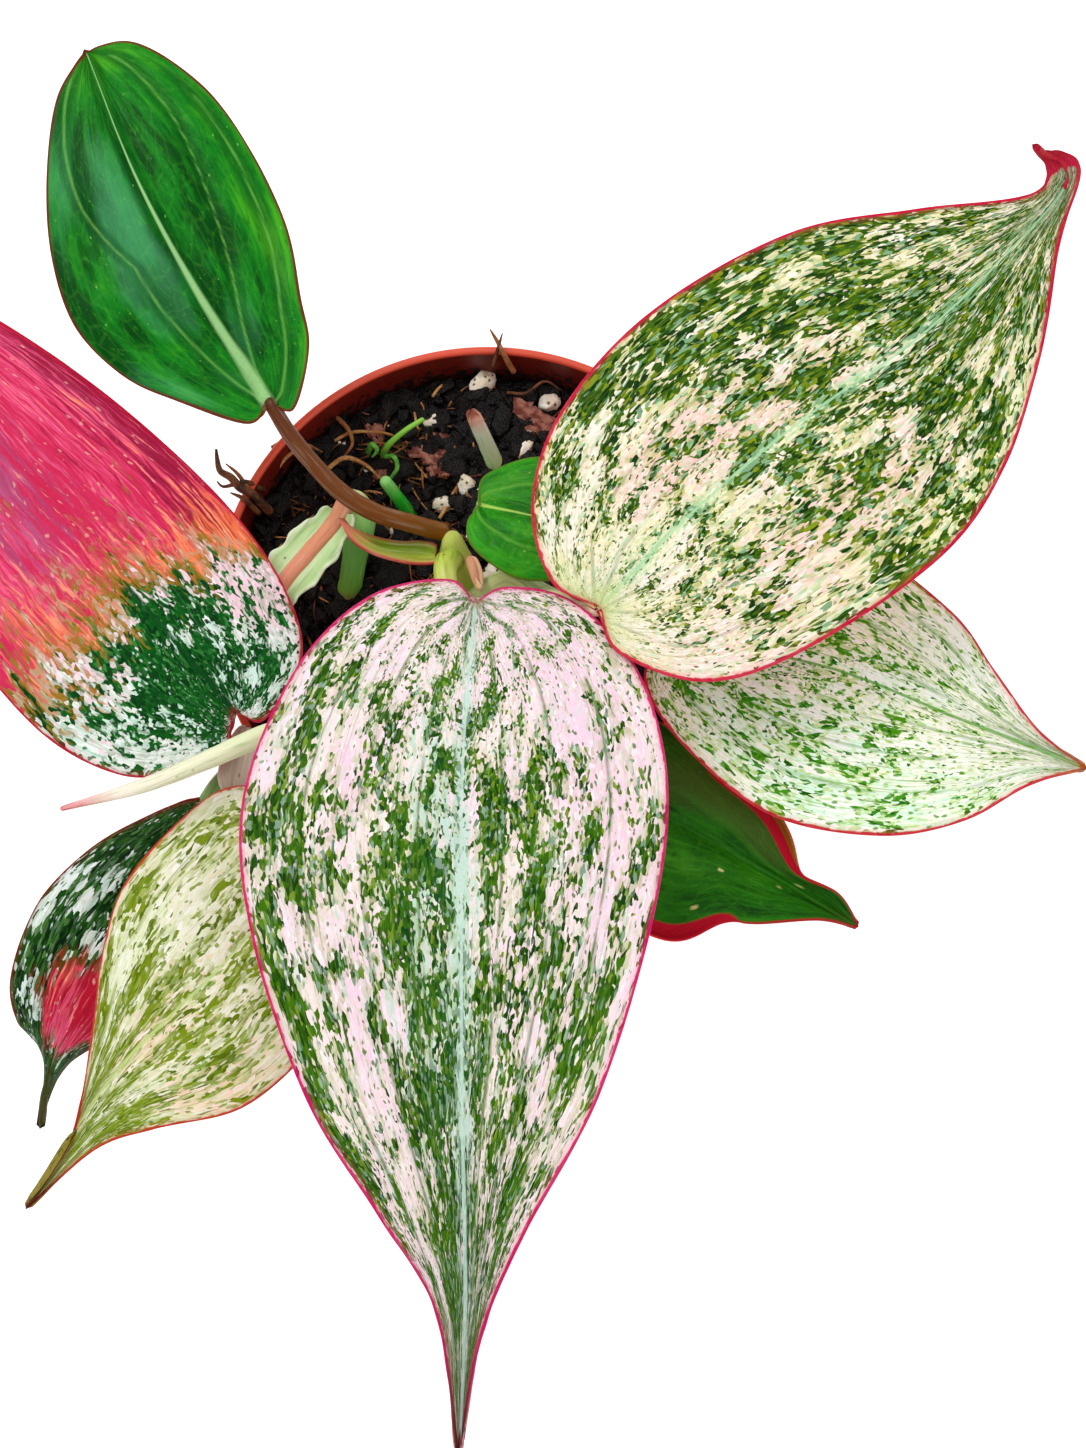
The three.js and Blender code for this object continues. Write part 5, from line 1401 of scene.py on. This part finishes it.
def soil_piece():
    """The potting mix: heaved crumbs, perlite, bark, and roots and straw lying about."""
    dice = random.Random(7)
    piece = Piece("soil_mix", "soil", [
        earthy("soil_crumbs", (3, 2, 3), (12, 9, 9), (44, 32, 27), 1.8, 0.22, depth=0.4, shine=0.28),
        earthy("perlite", (255, 250, 236), (240, 226, 194), (255, 255, 250), 2.4, 0.6, 0.9, 0.2),
        earthy("bark", (126, 62, 50), (196, 132, 112), (64, 28, 20), 1.3, depth=0.5),
        earthy("straw", (214, 160, 96), (176, 116, 62), (240, 204, 150), 2.0),
        earthy("dark_root", (60, 32, 18), (116, 70, 38), (150, 98, 60), 1.6),
        earthy("red_root", (146, 88, 46), (176, 116, 66), (96, 52, 28), 1.6),
        earthy("green_shoot", (60, 150, 40), (110, 190, 70), (160, 210, 110), 1.6, 0.4),
    ], angular=(CRUMB,))
    add_bed(piece)
    small, ball = lump_shape(1), lump_shape(3)
    for i in range(CRUMB_COUNT):
        place = somewhere(dice, CRUMB_REACH)
        big = 0.4 + 1.8 * dice.random() ** 2.3
        size = np.array([big * dice.uniform(0.9, 1.7), big, big * dice.uniform(0.5, 0.9)])
        add_lump(piece, small, on_soil(*place, dice.uniform(-0.3, 1.0)), size, dice, CRUMB, 0.6, i * 0.37)
    for i, (x, y, *size) in enumerate(GRAINS):
        add_lump(piece, ball, on_soil(x, y, 0.35 * size[2]), np.array(size), dice, PERLITE, 0.45, i + 20.0)
    for i in range(PERLITE_COUNT):
        place = somewhere(dice, PERLITE_REACH)
        big = 0.22 + 0.5 * dice.random() ** 2
        size = np.array([big * 1.2, big, big * 0.8])
        add_lump(piece, small, on_soil(*place, 0.4), size, dice, PERLITE, 0.3, i + 60.0)
    for i, (x, y, a, b, c, spin, slant) in enumerate(CHIPS):
        add_chip(piece, on_soil(x, y, 0.8), (a, b, c), spin, slant, BARK, i + 1.0)
    for i in range(CHIP_COUNT):
        place = somewhere(dice, CHIP_REACH)
        size = (dice.uniform(0.9, 1.9), dice.uniform(0.5, 1.1), dice.uniform(0.25, 0.5))
        spin, slant = dice.uniform(0, 6.3), dice.gauss(0, 0.3)
        kind = dice.choice((BARK, DARK_ROOT, DARK_ROOT))
        add_chip(piece, on_soil(*place, 0.3), size, spin, slant, kind, i + 9.0)
    for i in range(FIBRE_COUNT):
        start = somewhere(dice, FIBRE_REACH)
        if i % 2:
            start = (dice.uniform(-38, -4), dice.uniform(4, 38))
        kind = dice.choice((STRAW, DARK_ROOT, DARK_ROOT, RED_ROOT, RED_ROOT))
        thick = dice.uniform(0.08, 0.2) + 0.16 * dice.random() ** 4
        add_fibre(piece, start, dice.uniform(0, 6.3), dice.uniform(3, 14), thick, dice, kind)
    for start, heading, length, thick in STRAWS:
        add_fibre(piece, start, heading, length, thick, dice, STRAW)
    for path, thick, kind in LOOSE:
        add_thread(piece, path, thick, np.linspace(0, 1, 6 * len(path)), kind)
    add_lump(piece, ball, STEM_GRAIN_AT, np.array(STEM_GRAIN), dice, PERLITE, 0.5, 4.0)
    piece.finish()


def add_chip(piece, at, size, spin, slant, material, seed):
    """Adds a flat torn chip of bark."""
    steps = np.linspace(-1, 1, 9)
    u, v = np.meshgrid(steps, steps, indexing="ij")
    turn = np.arctan2(v, u)
    reach = np.maximum(np.abs(u), np.abs(v))
    jag = 1 + 0.22 * np.sin(3 * turn + seed) + 0.12 * np.sin(7 * turn + 2 * seed)
    x, y = size[0] * reach * np.cos(turn) * jag, size[1] * reach * np.sin(turn) * jag
    flat = np.stack([x, y, 0 * x], -1)
    z = size[2] * (0.5 - 0.35 * reach**2) + 0.5 * rough(flat, 1.1, seed)
    x, z = x * math.cos(slant) + z * math.sin(slant), z * math.cos(slant) - x * math.sin(slant)
    x, y = x * math.cos(spin) - y * math.sin(spin), x * math.sin(spin) + y * math.cos(spin)
    top = np.stack([x, y, z], -1) + at
    sheet(piece, top, size[2] * 0.8, material, flow=top)


def add_fibre(piece, start, heading, length, thick, dice, material):
    """Adds a thin root or straw that lies on the soil in a loose curve."""
    path, (x, y), bend = [], start, dice.gauss(0, 0.12)
    for k in range(FIBRE_STEPS + 1):
        if math.hypot(x, y) > FIBRE_END:
            break
        lift = 0.55 + 0.5 * math.sin(k * 0.9 + heading)
        path.append((x, y, float(soil_height(x, y)) + lift + thick))
        x += length / FIBRE_STEPS * math.cos(heading)
        y += length / FIBRE_STEPS * math.sin(heading)
        heading += bend + dice.gauss(0, 0.18)
    if len(path) > 2:
        run = curve(path, [0, 1])[2]
        add_thread(piece, path, thick, np.linspace(0, 1, max(int(run / 1.2), 4) + 1), material, 5)


def add_thread(piece, path, thick, shares, material, sides=7):
    """Adds a root or shoot along a path, thinner towards its end."""
    centres, tangents, _ = curve(path, shares)
    first = np.cross(tangents, [0, 0, 1])
    first /= np.maximum(np.linalg.norm(first, axis=1), TINY)[:, None]
    ring = hoops(full_turn(sides), first, np.cross(first, tangents))
    points = centres[:, None] + ring * (thick * (1 - 0.75 * shares**3))[:, None, None]
    index, after = ring_index(len(shares), sides)
    faces = np.stack([index[:-1], index[1:], after[1:], after[:-1]], -1).reshape(-1, 4).tolist()
    faces += [index[0].tolist(), index[-1][::-1].tolist()]
    points = points.reshape(-1, 3)
    piece.add(points, faces, material, flow=points)


pot_piece()
soil_piece()

# The studio: a white floor, an even pale surround and two large soft lights
HALF_FLOOR = 3
corners = [(HALF_FLOOR * x, HALF_FLOOR * y, 0) for x, y in ((-1, -1), (1, -1), (1, 1), (-1, 1))]
floor_mesh = bpy.data.meshes.new("floor")
floor_mesh.from_pydata(corners, [], [(0, 1, 2, 3)])
floor = bpy.data.objects.new("floor", floor_mesh)
bpy.context.scene.collection.objects.link(floor)
floor_mesh.materials.append(
    Shade("studio_floor").finish(
        Base_Color=(0.86, 0.86, 0.86, 1), Roughness=0.9, Specular_IOR_Level=0.1,
        Emission_Color=(1, 1, 1, 1), Emission_Strength=0.55,
    ),
)

world = bpy.data.worlds.new("studio")
world.use_nodes = True
world.node_tree.nodes["Background"].inputs["Color"].default_value = (1.0, 1.0, 1.0, 1)
world.node_tree.nodes["Background"].inputs["Strength"].default_value = 0.72
bpy.context.scene.world = world


def lamp(name, place, target, size, power):
    data = bpy.data.lights.new(name, "AREA")
    data.shape, data.size, data.energy = "DISK", size, power
    light = bpy.data.objects.new(name, data)
    light.location = place
    light.rotation_euler = (Vector(target) - Vector(place)).to_track_quat("-Z", "Y").to_euler()
    bpy.context.scene.collection.objects.link(light)


lamp("key_light", (-0.5, 0.45, 1.1), (0, 0, 0.08), 0.6, 6.0)
lamp("fill_light", (0.7, -0.5, 1.0), (0, 0, 0.08), 0.9, 3.0)

bpy.context.scene.view_settings.view_transform = "Standard"

camera_data = bpy.data.cameras.new("camera")
camera_data.lens, camera_data.sensor_width, camera_data.sensor_fit = LENS, SENSOR, "AUTO"
camera = bpy.data.objects.new("camera", camera_data)
camera.location = Vector(CAMERA_AT) * MM
camera.rotation_euler = (math.radians(CAMERA_TILT), 0, 0)
bpy.context.scene.collection.objects.link(camera)
bpy.context.scene.camera = camera
